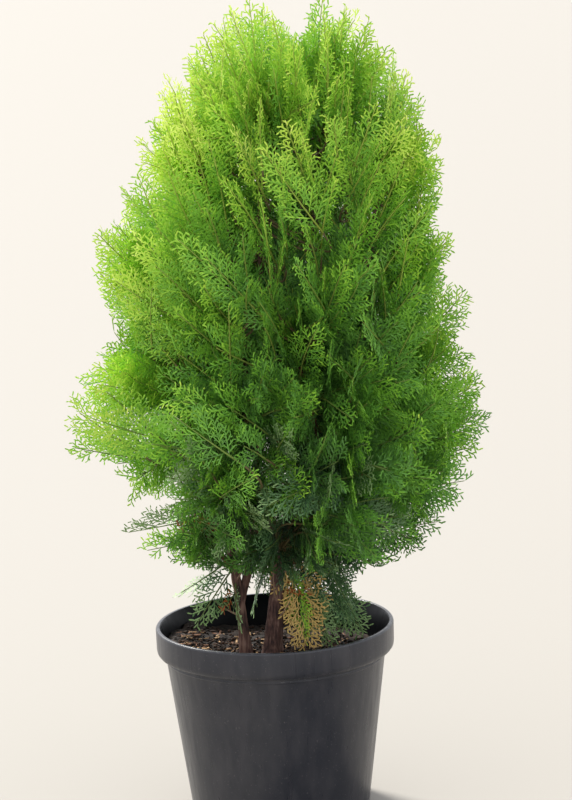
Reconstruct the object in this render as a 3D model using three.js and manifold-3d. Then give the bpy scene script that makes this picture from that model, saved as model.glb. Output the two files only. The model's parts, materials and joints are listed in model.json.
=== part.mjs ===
// Oriental thuja (Platycladus) in a three litre nursery pot.
//
// Millimetres, +Z up. The origin is the centre of the pot's flat underside, and -Y is the front.
// Two stems come out of the soil and fork low down into five, close together and almost upright.
// Short boughs leave them in tiers, and each bough, and each stem's tip, carries one mass of
// flat fan-shaped sprays. Every mass keeps to its own space, so no two of them meet.

import * as THREE from "three";
import { mergeVertices } from "three/addons/utils/BufferGeometryUtils.js";
import Module from "manifold-3d";

const wasm = await Module();
wasm.setup();

// ------------------------------------------------------------------ driving dimensions

const GAP = 0.3; // clearance between neighbouring solids
const MERGE = 0.05; // corners of a fused solid nearer than this become one
const SEED = 50;

// The pot: an injection-moulded round pot, 19 cm across.
const POT_HEIGHT = 150;
const RIM_RADIUS = 95;
const RIM_BAND = 22; // height of the overhanging band round the mouth
const RIM_OVERHANG = 7; // from the body's face out to the band's face
const BASE_RADIUS = 71;
const WALL = 2;
const FLOOR = 3;
const POT_SIDES = 40;
const DRAIN_HOLES = 8;
const DRAIN_HOLE_RADIUS = 5;
const DRAIN_CIRCLE_RADIUS = 58;

// The soil, which stops a finger's width below the rim.
const SOIL_TOP = 125;
const SOIL_UNEVEN = [-5, 1]; // how its surface rises and falls outside SOIL_LEVEL_RADIUS
const SOIL_LEVEL_RADIUS = 45; // level round the feet of the stems
const SOIL_HEAP = 13; // how high it is heaped up against the wall on the left
const SOIL_HEAP_FROM = [25, 78]; // the distances to the left that the heap rises between
const SOIL_RINGS = 5;
const SOIL_SIDES = 24;

// The crown's outline: an egg, widest at a third of its height, with a slight waist above that
// and a head that stands over to the right.
const CROWN_TOP = 664; // a blunt top: the highest sprays stop a little below it
const CROWN_WIDEST = 330;
const CROWN_FOOT = 160;
const CROWN_RADIUS = 168;
const CROWN_TAPER = [1.75, 1.2]; // the lower, the more pointed, below and above its widest
const CROWN_OFFSET = 6; // how far the crown's axis stands to the right of the pot's
const CROWN_LEAN = 22; // how much further its head does
const LEAN_FROM = [455, 545]; // the heights that it moves over between
const WAIST = { height: 415, tall: 28, depth: 0.04, shift: 9 }; // its depth is a share of the radius
const CROWN_FRINGE = 8; // how far a spray may stand out of the outline

// The stems: the points that each one passes through, its radius at the foot and at the tip.
// Two come out of the soil, drawn from STEM_SUNK below it and cut level, and three fork from them.
const STEM_SUNK = 4;
const STEMS = [
  {
    name: "trunk",
    through: [[-3, 0, SOIL_TOP - STEM_SUNK], [4, 3, 180], [22, 9, 262], [36, 15, 390], [49, 14, 525]],
    foot: 7.5,
    tip: 2,
    flare: 3.5,
  },
  {
    name: "stem_left",
    through: [
      [-23, -6, SOIL_TOP - STEM_SUNK],
      [-29, -9, 190],
      [-39, -12, 265],
      [-46, -9, 370],
      [-45, -4, 485],
    ],
    foot: 4.6,
    tip: 1.9,
    flare: 1.6,
  },
  {
    name: "stem_centre",
    through: [[-27, -8, 168], [-15, -6, 215], [-9, -12, 290], [-2, -19, 400], [3, -20, 520]],
    foot: 3.6,
    tip: 1.9,
    flare: 0,
  },
  {
    name: "stem_right",
    through: [[5, 3, 182], [31, -3, 245], [50, -8, 300], [74, -10, 380], [91, -8, 480]],
    foot: 3.8,
    tip: 1.9,
    flare: 0,
  },
  {
    name: "stem_back",
    through: [[3, 2, 165], [0, 22, 215], [4, 40, 280], [14, 56, 370], [24, 66, 480]],
    foot: 3.8,
    tip: 1.9,
    flare: 0,
  },
];
const STEM_SIDES = 7;
const STEM_STEPS = 11;
const STEM_TAPER = 0.8; // below 1, so that a stem thins fastest near its foot
const FLARE_HEIGHT = 16; // the root flare dies away over this height

// The tiers of foliage masses. tip is the height that a mass's last spray reaches on the
// crown's outline, rise is the slope of that spray, and drop is how far below the mass its
// bough leaves the stem. first is the first mass's bearing, 0 to the right and 270 in front.
// spray and twig are lengths, both cut down where the stem stands close to the outline.
const TIERS = [
  { name: "skirt", count: 5, first: 342, tip: 206, rise: -26, spray: 72, twig: 26, drop: 22, places: 6 },
  { name: "low", count: 6, first: 0, tip: 296, rise: 10, spray: 92, twig: 44, drop: 34, places: 9 },
  { name: "middle", count: 6, first: 8, tip: 380, rise: 32, spray: 96, twig: 48, drop: 42, places: 9 },
  { name: "upper", count: 6, first: 350, tip: 474, rise: 54, spray: 94, twig: 52, drop: 44, places: 9 },
];
const LEAST_SHARE = 0.5; // of those lengths
const LEAST_BOUGH = 14; // how far out from its stem's axis the shortest bough ends
const TWIG_RISE = 0.7; // a twig's slope, as a share of its last spray's
const BEARING_JITTER = 8; // degrees
const HEIGHT_JITTER = 17;
const REACH = [0.97, 1.03]; // how far out the last spray ends, as a share of the outline
const STEM_SPREAD = 0.8; // what a stem loses, as a choice for a bough, for standing aside
const STEM_ENDS = 6; // no bough leaves a stem nearer than this to its ends
const BOUGH_BEND = [0.6, 0.36]; // where its curve turns up, outwards and upwards
const BOUGH_ROOT_RADIUS = 2.7;
const BOUGH_TIP_RADIUS = 1.7;
const BOUGH_SIDES = 5;
const BOUGH_STEPS = 3;

// The leaders: the mass on each stem's tip, with the height that it reaches.
const LEADER_LEAN = 0.8; // of the lean that its stem ends with
const LEADER_TIPS = { trunk: 647, stem_left: 622, stem_centre: 648, stem_right: 616, stem_back: 622 };
const LEADER_SPRAY = 88;
const LEADER_PLACES = 9;

// A mass: side sprays along a twig, then one at its end. Each place on the twig takes the
// first try that fits the space, the largest size first.
const TWIG_SIDES = 3;
const TWIG_STEPS = 4;
const TWIG_END_RADIUS = 1.2;
const PLACES = [0.1, 0.94]; // where its side sprays begin and end along it
const LAST_PLACE = 0.97;
const CENTRE = [0.7, 0.25]; // of a mass: along its twig, then out by this share of a spray
const TRIES = 30;
const SHRINK = [1, 0.84, 0.7];
const SHORTEST_SPRAY = 30;
const SIDE_SIZE = [0.8, 1]; // a side spray's length, as a share of the last one's
const LAST_SPLAY = 8; // the most between the last spray and its mass's axis, in degrees
const SPLAY = [32, 72]; // the same for a side spray
const TURN = [15, 135]; // round that axis, from straight up, to either side in turn
const GOLDEN_TURN = 137.5; // the same on a leader, from each side spray to the next
const TURN_JITTER = 0.25; // of that turn
const TWIST = 26; // the most that a spray's face turns out of the upright
const STEEP = 0.4; // a spray nearer the upright than this faces outwards, or forwards on a leader
const FRONT = 270;

// A spray: a blade with a ridge down its middle, cut into lobes that point forward.
const SPRAY_WIDTH = 0.4; // half its width, as a share of its length
const SPRAY_NOTCH = 0.42; // how far out its notches stand, as a share of that
const SPRAY_THICK = 0.03; // its thickness at the ridge, as a share of its length
const SPRAY_LOBES = 3;
const SPRAY_STALK = [0.06, 0.86]; // where its lobes begin and end along it
const SPRAY_NECK = 0.05; // half its width where it leaves the twig
const SPRAY_SHAPE = [0.3, 0.86]; // the stretch of a half sine that its lobes' lengths follow
const RIDGE_END = 0.6; // how thick the ridge still is at its last lobe
const LOBE_FORWARD = 0.23; // how far a lobe's tip and a notch stand forward of the lobe's rib
const NOTCH_FORWARD = 0.05;
const ROOT_FREE = 0.08; // sprays may meet on this first share of their length
const LIMB_CLEAR = 1.5; // least distance from a blade to a limb
const BEAD_SPACING = 3; // of the spheres along a limb that this is tested with
const SOIL_CLEAR = 4;
const RIM_CLEAR = 8;

const COLOURS = {
  pot: 0x25262a,
  soil: 0x3a2a20,
  bark: 0x5b4236,
  skirt: 0x3d7040,
  low: 0x3f7d33,
  middle: 0x549530,
  upper: 0x74b02c,
  leader: 0x93c72f,
};

// ------------------------------------------------------------------ small helpers

const vec = (x, y, z) => new THREE.Vector3(x, y, z);
const radians = THREE.MathUtils.degToRad;
const degrees = THREE.MathUtils.radToDeg;
const { lerp, clamp, smoothstep } = THREE.MathUtils;
const part = new THREE.Group();

/** A seeded stream of numbers from 0 to 1. */
function seeded(seed) {
  let state = seed >>> 0;
  return () => {
    state = (state + 0x6d2b79f5) >>> 0;
    let t = state;
    t = Math.imul(t ^ (t >>> 15), t | 1);
    t ^= t + Math.imul(t ^ (t >>> 7), t | 61);
    return ((t ^ (t >>> 14)) >>> 0) / 4294967296;
  };
}

/** A unit vector by its bearing and its slope above the horizontal, in degrees. */
function heading(bearing, slope) {
  const b = radians(bearing);
  const s = radians(slope);
  return vec(Math.cos(b) * Math.cos(s), Math.sin(b) * Math.cos(s), Math.sin(s));
}

/** A closed geometry as a manifold-3d solid. */
function solid(geometry) {
  const bare = new THREE.BufferGeometry();
  bare.setAttribute("position", geometry.getAttribute("position"));
  bare.setIndex(geometry.index);
  const merged = mergeVertices(bare, 1e-4);
  return new wasm.Manifold(
    new wasm.Mesh({
      numProp: 3,
      vertProperties: merged.attributes.position.array,
      triVerts: new Uint32Array(merged.index.array),
    }),
  );
}

/** The largest body of a solid, so that a loose scrap is dropped. */
function largest(made) {
  return made.decompose().sort((a, b) => b.volume() - a.volume())[0];
}

/** Adds one node of the part. */
function node(name, made, colour, roughness) {
  const mesh = made.getMesh();
  const geometry = new THREE.BufferGeometry();
  geometry.setAttribute("position", new THREE.BufferAttribute(mesh.vertProperties, 3));
  geometry.setIndex(new THREE.BufferAttribute(mesh.triVerts, 1));
  const material = new THREE.MeshStandardMaterial({ color: colour, roughness, metalness: 0 });
  const placed = new THREE.Mesh(geometry, material);
  placed.name = name;
  part.add(placed);
}

/** A profile of [radius, height] points turned about the Z axis. */
function turned(profile, sides) {
  const points = profile.map(([radius, height]) => new THREE.Vector2(radius, height));
  return solid(new THREE.LatheGeometry([...points, points[0]], sides).rotateX(Math.PI / 2));
}

// ------------------------------------------------------------------ pot and soil

const bodyTop = POT_HEIGHT - RIM_BAND;
const bodyTopRadius = RIM_RADIUS - RIM_OVERHANG;

/** The body's outer radius at a height. */
function bodyRadius(z) {
  return lerp(BASE_RADIUS, bodyTopRadius, z / bodyTop);
}

/** The inside wall's radius at a height. */
function innerRadius(z) {
  const share = (z - FLOOR) / (bodyTop + 2 - FLOOR);
  return lerp(bodyRadius(FLOOR), bodyTopRadius, share) - WALL;
}

/** The pot: a tapering shell with a flat floor, an overhanging rim band and drain holes. */
function pot() {
  const shell = turned(
    [
      [0, 0],
      [BASE_RADIUS - 2, 0],
      [bodyRadius(2), 2],
      [bodyTopRadius, bodyTop],
      [RIM_RADIUS - 2.5, bodyTop + 1],
      [RIM_RADIUS - 1, bodyTop + 4],
      [RIM_RADIUS, POT_HEIGHT - 1.5],
      [RIM_RADIUS - 1, POT_HEIGHT],
      [RIM_RADIUS - WALL - 1, POT_HEIGHT],
      [RIM_RADIUS - WALL - 2, POT_HEIGHT - 2],
      [innerRadius(bodyTop + 2), bodyTop + 2],
      [innerRadius(FLOOR), FLOOR],
      [0, FLOOR],
    ],
    POT_SIDES,
  );
  const holes = [];
  for (let i = 0; i < DRAIN_HOLES; i++) {
    const turn = (2 * Math.PI * (i + 0.5)) / DRAIN_HOLES;
    const hole = new THREE.CylinderGeometry(DRAIN_HOLE_RADIUS, DRAIN_HOLE_RADIUS, 4 * FLOOR, 8);
    hole.rotateX(Math.PI / 2);
    hole.translate(DRAIN_CIRCLE_RADIUS * Math.cos(turn), DRAIN_CIRCLE_RADIUS * Math.sin(turn), FLOOR);
    holes.push(solid(hole));
  }
  return shell.subtract(wasm.Manifold.union(holes));
}

/** How far the soil is heaped up above its level at a distance to the right. */
function soilHeap(x) {
  return SOIL_HEAP * smoothstep(-x, ...SOIL_HEAP_FROM);
}

/** The soil: it fills the pot to SOIL_TOP, level in the middle and uneven towards the wall. */
function soil() {
  const random = seeded(SEED);
  const edge = (z) => innerRadius(z) * Math.cos(Math.PI / POT_SIDES) - GAP;
  const top = SOIL_TOP - GAP;
  const rings = Array.from({ length: SOIL_RINGS }, (_, ring) => [
    edge(top + SOIL_UNEVEN[0]) * (1 - (ring / SOIL_RINGS) ** 1.3),
    top,
  ]);
  const profile = [[0, FLOOR + GAP], [edge(FLOOR + GAP), FLOOR + GAP], ...rings, [0, top]];
  const points = profile.map(([radius, height]) => new THREE.Vector2(radius, height));
  const lathe = new THREE.LatheGeometry(points, SOIL_SIDES).rotateX(Math.PI / 2);
  lathe.deleteAttribute("normal");
  lathe.deleteAttribute("uv");
  const merged = mergeVertices(lathe, 1e-3);
  const at = merged.getAttribute("position");
  for (let i = 0; i < at.count; i++) {
    const wave = lerp(...SOIL_UNEVEN, random());
    const outward = Math.hypot(at.getX(i), at.getY(i));
    if (at.getZ(i) > FLOOR + 2 * GAP && outward > SOIL_LEVEL_RADIUS) {
      const height = top + wave + soilHeap(at.getX(i));
      const wider = edge(height) / edge(top + SOIL_UNEVEN[0]);
      at.setXYZ(i, at.getX(i) * wider, at.getY(i) * wider, height);
    }
  }
  return solid(merged);
}

// ------------------------------------------------------------------ limbs

/** How much of the waist there is at a height, from 0 to 1. */
function waist(z) {
  return Math.exp(-(((z - WAIST.height) / WAIST.tall) ** 2));
}

/** The distance from the crown's axis to its outline at a height. */
function crownRadius(z) {
  const above = z > CROWN_WIDEST;
  const share = Math.min(1, (z - CROWN_WIDEST) / ((above ? CROWN_TOP : CROWN_FOOT) - CROWN_WIDEST));
  const egg = CROWN_RADIUS * Math.sqrt(1 - share ** CROWN_TAPER[above ? 1 : 0]);
  return egg * (1 - WAIST.depth * waist(z));
}

/** Where the crown's axis is at a height. */
function crownAxis(z) {
  const lean = CROWN_LEAN * smoothstep(z, ...LEAN_FROM);
  return vec(CROWN_OFFSET + lean + WAIST.shift * waist(z), 0, z);
}

/** A limb's shape: a curve, a direction across it, and its radius at each share of the way. */
function limbShape(curve, across, radiusAt) {
  return { curve, across, radiusAt };
}

/** A limb as a solid: a cylinder bent along the limb's curve. extra widens it all round. */
function limbSolid(limb, sides, steps, extra = 0) {
  const { curve, across, radiusAt } = limb;
  const cylinder = new THREE.CylinderGeometry(1, 1, 1, sides, steps);
  const at = cylinder.getAttribute("position");
  for (let i = 0; i < at.count; i++) {
    const share = at.getY(i) + 0.5;
    const along = curve.getTangent(share);
    const right = vec().crossVectors(along, across).normalize();
    const back = vec().crossVectors(right, along);
    const radius = radiusAt(share) + extra;
    const place = curve
      .getPoint(share)
      .addScaledVector(right, at.getX(i) * radius)
      .addScaledVector(back, at.getZ(i) * radius);
    at.setXYZ(i, place.x, place.y, place.z);
  }
  return solid(cylinder);
}

/** Spheres along a limb, as [centre, radius], for the test that foliage stays clear of it. */
function limbBeads({ curve, radiusAt }) {
  const count = Math.ceil(curve.getLength() / BEAD_SPACING);
  return Array.from({ length: count + 1 }, (_, i) => [curve.getPoint(i / count), radiusAt(i / count)]);
}

const stems = STEMS.map(({ name, through, foot, tip, flare }) => {
  const points = through.map((p) => vec(...p));
  const curve = new THREE.CatmullRomCurve3(points, false, "catmullrom", 0.5);
  const height = points[points.length - 1].z - points[0].z;
  const radiusAt = (share) =>
    lerp(foot, tip, share ** STEM_TAPER) + flare * Math.exp((-share * height) / FLARE_HEIGHT);
  return { name, ...limbShape(curve, vec(0, 1, 0), radiusAt) };
});

/** The point on a stem's curve at a height. */
function stemAt({ curve }, z) {
  let low = 0;
  let high = 1;
  for (let i = 0; i < 30; i++) {
    const middle = (low + high) / 2;
    if (curve.getPoint(middle).z < z) {
      low = middle;
    } else {
      high = middle;
    }
  }
  return curve.getPoint(low);
}

/** The stem that stands furthest towards a bearing, so that a bough from it meets no other. */
function stemTowards(bearing, z) {
  const towards = heading(bearing, 0);
  const score = (stem) => {
    const off = stemAt(stem, z).sub(crownAxis(z)).setZ(0);
    const forward = off.dot(towards);
    return forward - STEM_SPREAD * Math.sqrt(Math.max(0, off.lengthSq() - forward * forward));
  };
  const reaches = ({ curve }) =>
    curve.getPoint(0).z < z - STEM_ENDS && curve.getPoint(1).z > z + STEM_ENDS;
  return stems.filter(reaches).sort((a, b) => score(b) - score(a))[0];
}

// ------------------------------------------------------------------ masses

/** One mass of a tier with its bough, worked back from where its last spray ends. */
function tierMass(tier, i, random) {
  const bearing = tier.first + (360 * i) / tier.count + BEARING_JITTER * (random() * 2 - 1);
  const tipZ = tier.tip + HEIGHT_JITTER * (random() * 2 - 1);
  const reach = crownRadius(tipZ) * lerp(...REACH, random());
  const target = crownAxis(tipZ).addScaledVector(heading(bearing, 0), reach);
  const twigRise = tier.rise * TWIG_RISE;
  const entryZ = tipZ - Math.sin(radians(tier.rise)) * (tier.spray + TWIG_RISE * tier.twig);
  const stem = stemTowards(bearing, entryZ - tier.drop);
  const depth = vec().subVectors(target, stemAt(stem, entryZ)).dot(heading(bearing, 0));
  const full = tier.spray * Math.cos(radians(tier.rise)) + tier.twig * Math.cos(radians(twigRise));
  const share = clamp((depth - LEAST_BOUGH) / full, LEAST_SHARE, 1);
  const spray = tier.spray * share;
  const twigEnd = target.clone().addScaledVector(heading(bearing, tier.rise), -spray);
  const entry = twigEnd.clone().addScaledVector(heading(bearing, twigRise), -tier.twig * share);
  const root = stemAt(stem, entry.z - tier.drop);
  const flat = vec().subVectors(entry, root).setZ(0);
  const bend = root.clone().addScaledVector(flat, BOUGH_BEND[0]).setZ(lerp(root.z, entry.z, BOUGH_BEND[1]));
  const curve = new THREE.QuadraticBezierCurve3(root, bend, entry);
  const across = vec(0, 0, 1).cross(flat).normalize();
  const bough = limbShape(curve, across, (along) => lerp(BOUGH_ROOT_RADIUS, BOUGH_TIP_RADIUS, along));
  const name = `${tier.name}_${i + 1}`;
  return { ...tier, name, colour: COLOURS[tier.name], bough, before: bough, bearing, spray, entry, twigEnd };
}

/** A leader: the mass that carries on from a stem's tip. */
function leaderMass(stem) {
  const entry = stem.curve.getPoint(1);
  const tangent = stem.curve.getTangent(1);
  const out = vec(tangent.x * LEADER_LEAN, tangent.y * LEADER_LEAN, 1).normalize();
  const rest = LEADER_TIPS[stem.name] - LEADER_SPRAY - entry.z;
  return {
    name: `leader_${stem.name.replace("stem_", "")}`,
    colour: COLOURS.leader,
    before: stem,
    bearing: degrees(Math.atan2(entry.y, entry.x - crownAxis(entry.z).x)),
    rise: degrees(Math.asin(out.z)),
    places: LEADER_PLACES,
    spray: LEADER_SPRAY,
    entry,
    twigEnd: entry.clone().addScaledVector(out, rest / out.z),
  };
}

/** Gives a mass its twig, which carries on from its bough or stem, and the centre of its space. */
function withTwig(mass) {
  const tangent = mass.before.curve.getTangent(1);
  const start = mass.entry.clone().addScaledVector(tangent, GAP);
  const bend = start.clone().addScaledVector(tangent, start.distanceTo(mass.twigEnd) / 2);
  const curve = new THREE.QuadraticBezierCurve3(start, bend, mass.twigEnd);
  const across = vec(0, 0, 1).cross(vec().subVectors(mass.twigEnd, start)).normalize();
  const thick = mass.before.radiusAt(1);
  const twig = limbShape(curve, across, (share) => lerp(thick, TWIG_END_RADIUS, share));
  const out = heading(mass.bearing, mass.rise).multiplyScalar(mass.spray * CENTRE[1]);
  return { ...mass, twig, centre: curve.getPoint(CENTRE[0]).add(out) };
}

const layout = seeded(SEED + 1);
const tierMasses = TIERS.flatMap((tier) =>
  Array.from({ length: tier.count }, (_, i) => tierMass(tier, i, layout)),
);
const masses = [...tierMasses, ...stems.map(leaderMass)].map(withTwig);
const limbs = [...stems, ...tierMasses.map((mass) => mass.bough)];

/** The spheres near a mass of every limb, and of every twig but the mass's own. */
function beadsOf(mass) {
  const twigs = masses.filter((other) => other !== mass).map((other) => other.twig);
  const all = [...limbs, ...twigs].flatMap(limbBeads);
  return all.filter(([centre]) => centre.distanceTo(mass.centre) < 2 * mass.spray);
}

/** The planes that part a mass's space from every other mass's, halfway between their centres. */
function wallsOf(mass) {
  return masses
    .filter((other) => other !== mass)
    .map((other) => {
      const normal = vec().subVectors(other.centre, mass.centre).normalize();
      const half = vec().addVectors(other.centre, mass.centre).divideScalar(2);
      return new THREE.Plane().setFromNormalAndCoplanarPoint(normal, half);
    });
}

/** A point on the straight pieces that a twig's solid is made of. */
function onTwig({ curve }, share) {
  const step = Math.min(TWIG_STEPS - 1, Math.floor(share * TWIG_STEPS));
  const from = curve.getPoint(step / TWIG_STEPS);
  return from.lerp(curve.getPoint((step + 1) / TWIG_STEPS), share * TWIG_STEPS - step);
}

/** One try at a place on a mass's twig: where the spray is rooted, its direction and its face. */
function trySpray(mass, place, random) {
  const last = place === mass.places;
  const share = last ? LAST_PLACE : lerp(...PLACES, place / mass.places);
  const splay = radians(last ? LAST_SPLAY * random() : lerp(...SPLAY, random()));
  const side = place % 2 ? 1 : -1;
  const sideTurn = mass.bough
    ? side * lerp(...TURN, random())
    : GOLDEN_TURN * (place + TURN_JITTER * random());
  const turn = radians(sideTurn);
  const twist = radians(TWIST * (random() * 2 - 1));
  const size = lerp(...SIDE_SIZE, last ? 1 : random());
  const along = heading(mass.bearing, mass.rise)
    .multiplyScalar(Math.cos(splay))
    .addScaledVector(heading(mass.bearing, mass.rise + 90), Math.sin(splay) * Math.cos(turn))
    .addScaledVector(heading(mass.bearing - 90, 0), Math.sin(splay) * Math.sin(turn));
  const level = vec(0, 0, 1).cross(along);
  const steep = level.length() < STEEP;
  const facing = steep ? heading(mass.bough ? mass.bearing : FRONT, 0) : level;
  const square = facing.addScaledVector(along, -facing.dot(along)).normalize();
  const face = square.applyAxisAngle(along, twist);
  return { root: onTwig(mass.twig, share), along, face, length: mass.spray * size };
}

/** The points of a spray's blade: the ridge, the notches and the lobe tips on either side. */
function bladePoints(spray) {
  const { root, along, face, length } = spray;
  const side = vec().crossVectors(face, along);
  const at = (forward, sideways, out) =>
    root
      .clone()
      .addScaledVector(along, forward * length)
      .addScaledVector(side, sideways * length)
      .addScaledVector(face, out * length);
  const rows = [];
  for (let i = 0; i <= SPRAY_LOBES; i++) {
    const share = i / SPRAY_LOBES;
    const forward = lerp(...SPRAY_STALK, share);
    const thick = (SPRAY_THICK / 2) * lerp(1, RIDGE_END, share);
    const lobe = SPRAY_WIDTH * Math.sin(Math.PI * lerp(...SPRAY_SHAPE, share));
    const notch = i ? lobe * SPRAY_NOTCH : SPRAY_NECK;
    const [lobeAt, notchAt] = [forward + LOBE_FORWARD, forward + NOTCH_FORWARD];
    rows.push({
      front: at(forward, 0, thick),
      back: at(forward, 0, -thick),
      notches: [at(notchAt, notch, 0), at(notchAt, -notch, 0)],
      lobes: i < SPRAY_LOBES ? [at(lobeAt, lobe, 0), at(lobeAt, -lobe, 0)] : [],
    });
  }
  return { spray, rows, root: at(0, 0, 0), tip: at(1, 0, 0) };
}

/** A spray's blade as a solid: two faces of triangles that meet along the toothed outline. */
function bladeSolid(points) {
  const corners = [];
  const triangle = (a, b, c, flip) => corners.push(a, ...(flip ? [c, b] : [b, c]));
  const { rows, root, tip } = points;
  for (const ridge of ["front", "back"]) {
    for (const side of [0, 1]) {
      const flip = (ridge === "back") !== (side === 1);
      const first = rows[0];
      const final = rows[rows.length - 1];
      triangle(root, first[ridge], first.notches[side], flip);
      for (let i = 0; i + 1 < rows.length; i++) {
        const [here, next] = [rows[i], rows[i + 1]];
        triangle(here[ridge], next[ridge], next.notches[side], flip);
        triangle(here[ridge], next.notches[side], here.lobes[side], flip);
        triangle(here[ridge], here.lobes[side], here.notches[side], flip);
      }
      triangle(final[ridge], tip, final.notches[side], flip);
    }
  }
  const geometry = new THREE.BufferGeometry().setFromPoints(corners);
  return solid(geometry.setIndex(corners.map((_, i) => i)));
}

/** True if a bead of a limb comes within LIMB_CLEAR of a spray's face, its root apart. */
function touches({ root, along, face, length }, [centre, radius]) {
  const off = vec().subVectors(centre, root);
  const near = radius + LIMB_CLEAR;
  const forward = off.dot(along);
  const outward = Math.abs(off.dot(face));
  const sideways = Math.abs(off.cross(face).dot(along));
  const half = Math.min(length * SPRAY_WIDTH, forward);
  return forward > near && forward < length + near && outward < near && sideways < half + near;
}

/** True if a point is above the soil, and in the pot's mouth where it is below the rim. */
function offPot(p) {
  const aboveRim = p.z > POT_HEIGHT + SOIL_CLEAR;
  const aboveSoil = p.z > SOIL_TOP + soilHeap(p.x) + SOIL_CLEAR;
  return aboveRim || (aboveSoil && Math.hypot(p.x, p.y) < bodyTopRadius - RIM_CLEAR);
}

/** True if a point is inside the crown's outline. */
function inCrown(p) {
  return p.distanceTo(crownAxis(p.z)) < crownRadius(p.z) + CROWN_FRINGE;
}

/** True if a blade stays in its mass's space, and clear of the pot, the soil and the limbs. */
function fits({ spray, rows, root, tip }, walls, beads) {
  const outline = [root, tip, ...rows.flatMap((r) => [r.front, r.back, ...r.notches, ...r.lobes])];
  const inSpace = (p) => walls.every((wall) => wall.distanceToPoint(p) < -GAP);
  return (
    outline.every((p) => offPot(p) && inCrown(p) && inSpace(p)) &&
    !beads.some((bead) => touches(spray, bead))
  );
}

/** A spray's ribs: its midrib and the line from the ridge to each lobe's tip. */
function ribsOf({ rows, tip }) {
  const lobed = rows.flatMap((row, i) => row.lobes.map((lobe) => new THREE.Line3(rows[i + 1].front, lobe)));
  return [new THREE.Line3(rows[0].front, tip), ...lobed];
}

/** True if a rib of one spray passes through the other's face. */
function crosses(one, other) {
  const plane = new THREE.Plane().setFromNormalAndCoplanarPoint(other.spray.face, other.root);
  return ribsOf(one).some((rib) => {
    const hit = plane.intersectLine(rib, vec());
    if (!hit) {
      return false;
    }
    const off = hit.sub(other.root);
    const forward = off.dot(other.spray.along) / other.spray.length;
    const sideways = off.cross(other.spray.face).dot(other.spray.along) / other.spray.length;
    return forward > ROOT_FREE && forward < 1 && Math.abs(sideways) < SPRAY_WIDTH;
  });
}

/** One mass: its twig with the blades of its sprays, the last spray placed first. */
function foliage(mass, index) {
  const random = seeded(SEED + 100 + index);
  const walls = wallsOf(mass);
  const beads = beadsOf(mass);
  const kept = [];
  for (let place = mass.places; place >= 0; place--) {
    const tries = Array.from({ length: TRIES }, () => trySpray(mass, place, random));
    const sized = SHRINK.flatMap((shrink) =>
      tries.map((spray) => ({ ...spray, length: spray.length * shrink })),
    );
    const found = sized
      .filter((spray) => spray.length >= SHORTEST_SPRAY)
      .map(bladePoints)
      .filter((points) => fits(points, walls, beads))
      .find((points) => !kept.some((other) => crosses(points, other) || crosses(other, points)));
    if (found) {
      kept.push(found);
    }
  }
  const twig = limbSolid(mass.twig, TWIG_SIDES, TWIG_STEPS);
  return largest(wasm.Manifold.union([twig, ...kept.map(bladeSolid)]).simplify(MERGE));
}

// ------------------------------------------------------------------ assembly

node("pot", pot(), COLOURS.pot, 0.45);
node("soil", soil(), COLOURS.soil, 0.95);

// A stem is cut level with the soil. It is also cut clear of the stems before it, and a bough
// is cut clear of all stems and of the boughs before it.
const air = new THREE.BoxGeometry(4 * RIM_RADIUS, 4 * RIM_RADIUS, CROWN_TOP);
const aboveSoil = solid(air.translate(0, 0, SOIL_TOP + CROWN_TOP / 2));
const clearance = GAP / Math.cos(Math.PI / BOUGH_SIDES);
const widened = [];

/** Adds a limb's node, cut clear of every limb added before it. */
function limbNode(name, limb, sides, steps) {
  const whole = limbSolid(limb, sides, steps).intersect(aboveSoil);
  const cut = widened.reduce((made, other) => made.subtract(other), whole);
  widened.push(limbSolid(limb, sides, steps, clearance));
  node(name, largest(cut), COLOURS.bark, 0.9);
}

stems.forEach((stem) => limbNode(stem.name, stem, STEM_SIDES, STEM_STEPS));
tierMasses.forEach(({ name, bough }) => limbNode(`bough_${name}`, bough, BOUGH_SIDES, BOUGH_STEPS));
masses.forEach((mass, index) => node(`foliage_${mass.name}`, foliage(mass, index), mass.colour, 0.7));

export default part;
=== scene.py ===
# A young oriental thuja in a three litre nursery pot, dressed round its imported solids.
# Everything is in metres, in the solids' own frame: +Z up, -Y to the front.
import json
import math

import bmesh
import bpy
import numpy as np
from mathutils import Matrix, Vector, noise

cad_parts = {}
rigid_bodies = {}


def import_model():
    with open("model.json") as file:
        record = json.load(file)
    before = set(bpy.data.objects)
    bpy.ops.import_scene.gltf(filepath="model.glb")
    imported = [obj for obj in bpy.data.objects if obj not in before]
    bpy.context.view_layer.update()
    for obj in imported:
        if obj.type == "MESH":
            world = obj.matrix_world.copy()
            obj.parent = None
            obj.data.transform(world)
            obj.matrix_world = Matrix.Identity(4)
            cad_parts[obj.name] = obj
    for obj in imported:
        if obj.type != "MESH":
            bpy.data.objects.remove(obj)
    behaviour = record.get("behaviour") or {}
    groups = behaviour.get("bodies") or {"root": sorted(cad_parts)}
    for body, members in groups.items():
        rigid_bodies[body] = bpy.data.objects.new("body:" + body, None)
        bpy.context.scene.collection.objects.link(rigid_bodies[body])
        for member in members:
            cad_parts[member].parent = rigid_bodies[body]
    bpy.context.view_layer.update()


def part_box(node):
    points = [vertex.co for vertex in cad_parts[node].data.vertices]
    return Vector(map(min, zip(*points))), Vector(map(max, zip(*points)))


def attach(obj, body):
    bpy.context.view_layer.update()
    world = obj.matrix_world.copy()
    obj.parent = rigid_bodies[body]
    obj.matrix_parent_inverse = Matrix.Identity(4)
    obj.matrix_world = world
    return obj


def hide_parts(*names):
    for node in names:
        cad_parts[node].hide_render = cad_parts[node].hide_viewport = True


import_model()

# ---- Pot --------------------------------------------------------------------------------
# A round nursery pot, injection moulded in black polypropylene. Its wall tapers so that
# pots stack, and a deep band round the mouth stiffens it and gives the hand a grip.

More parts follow.
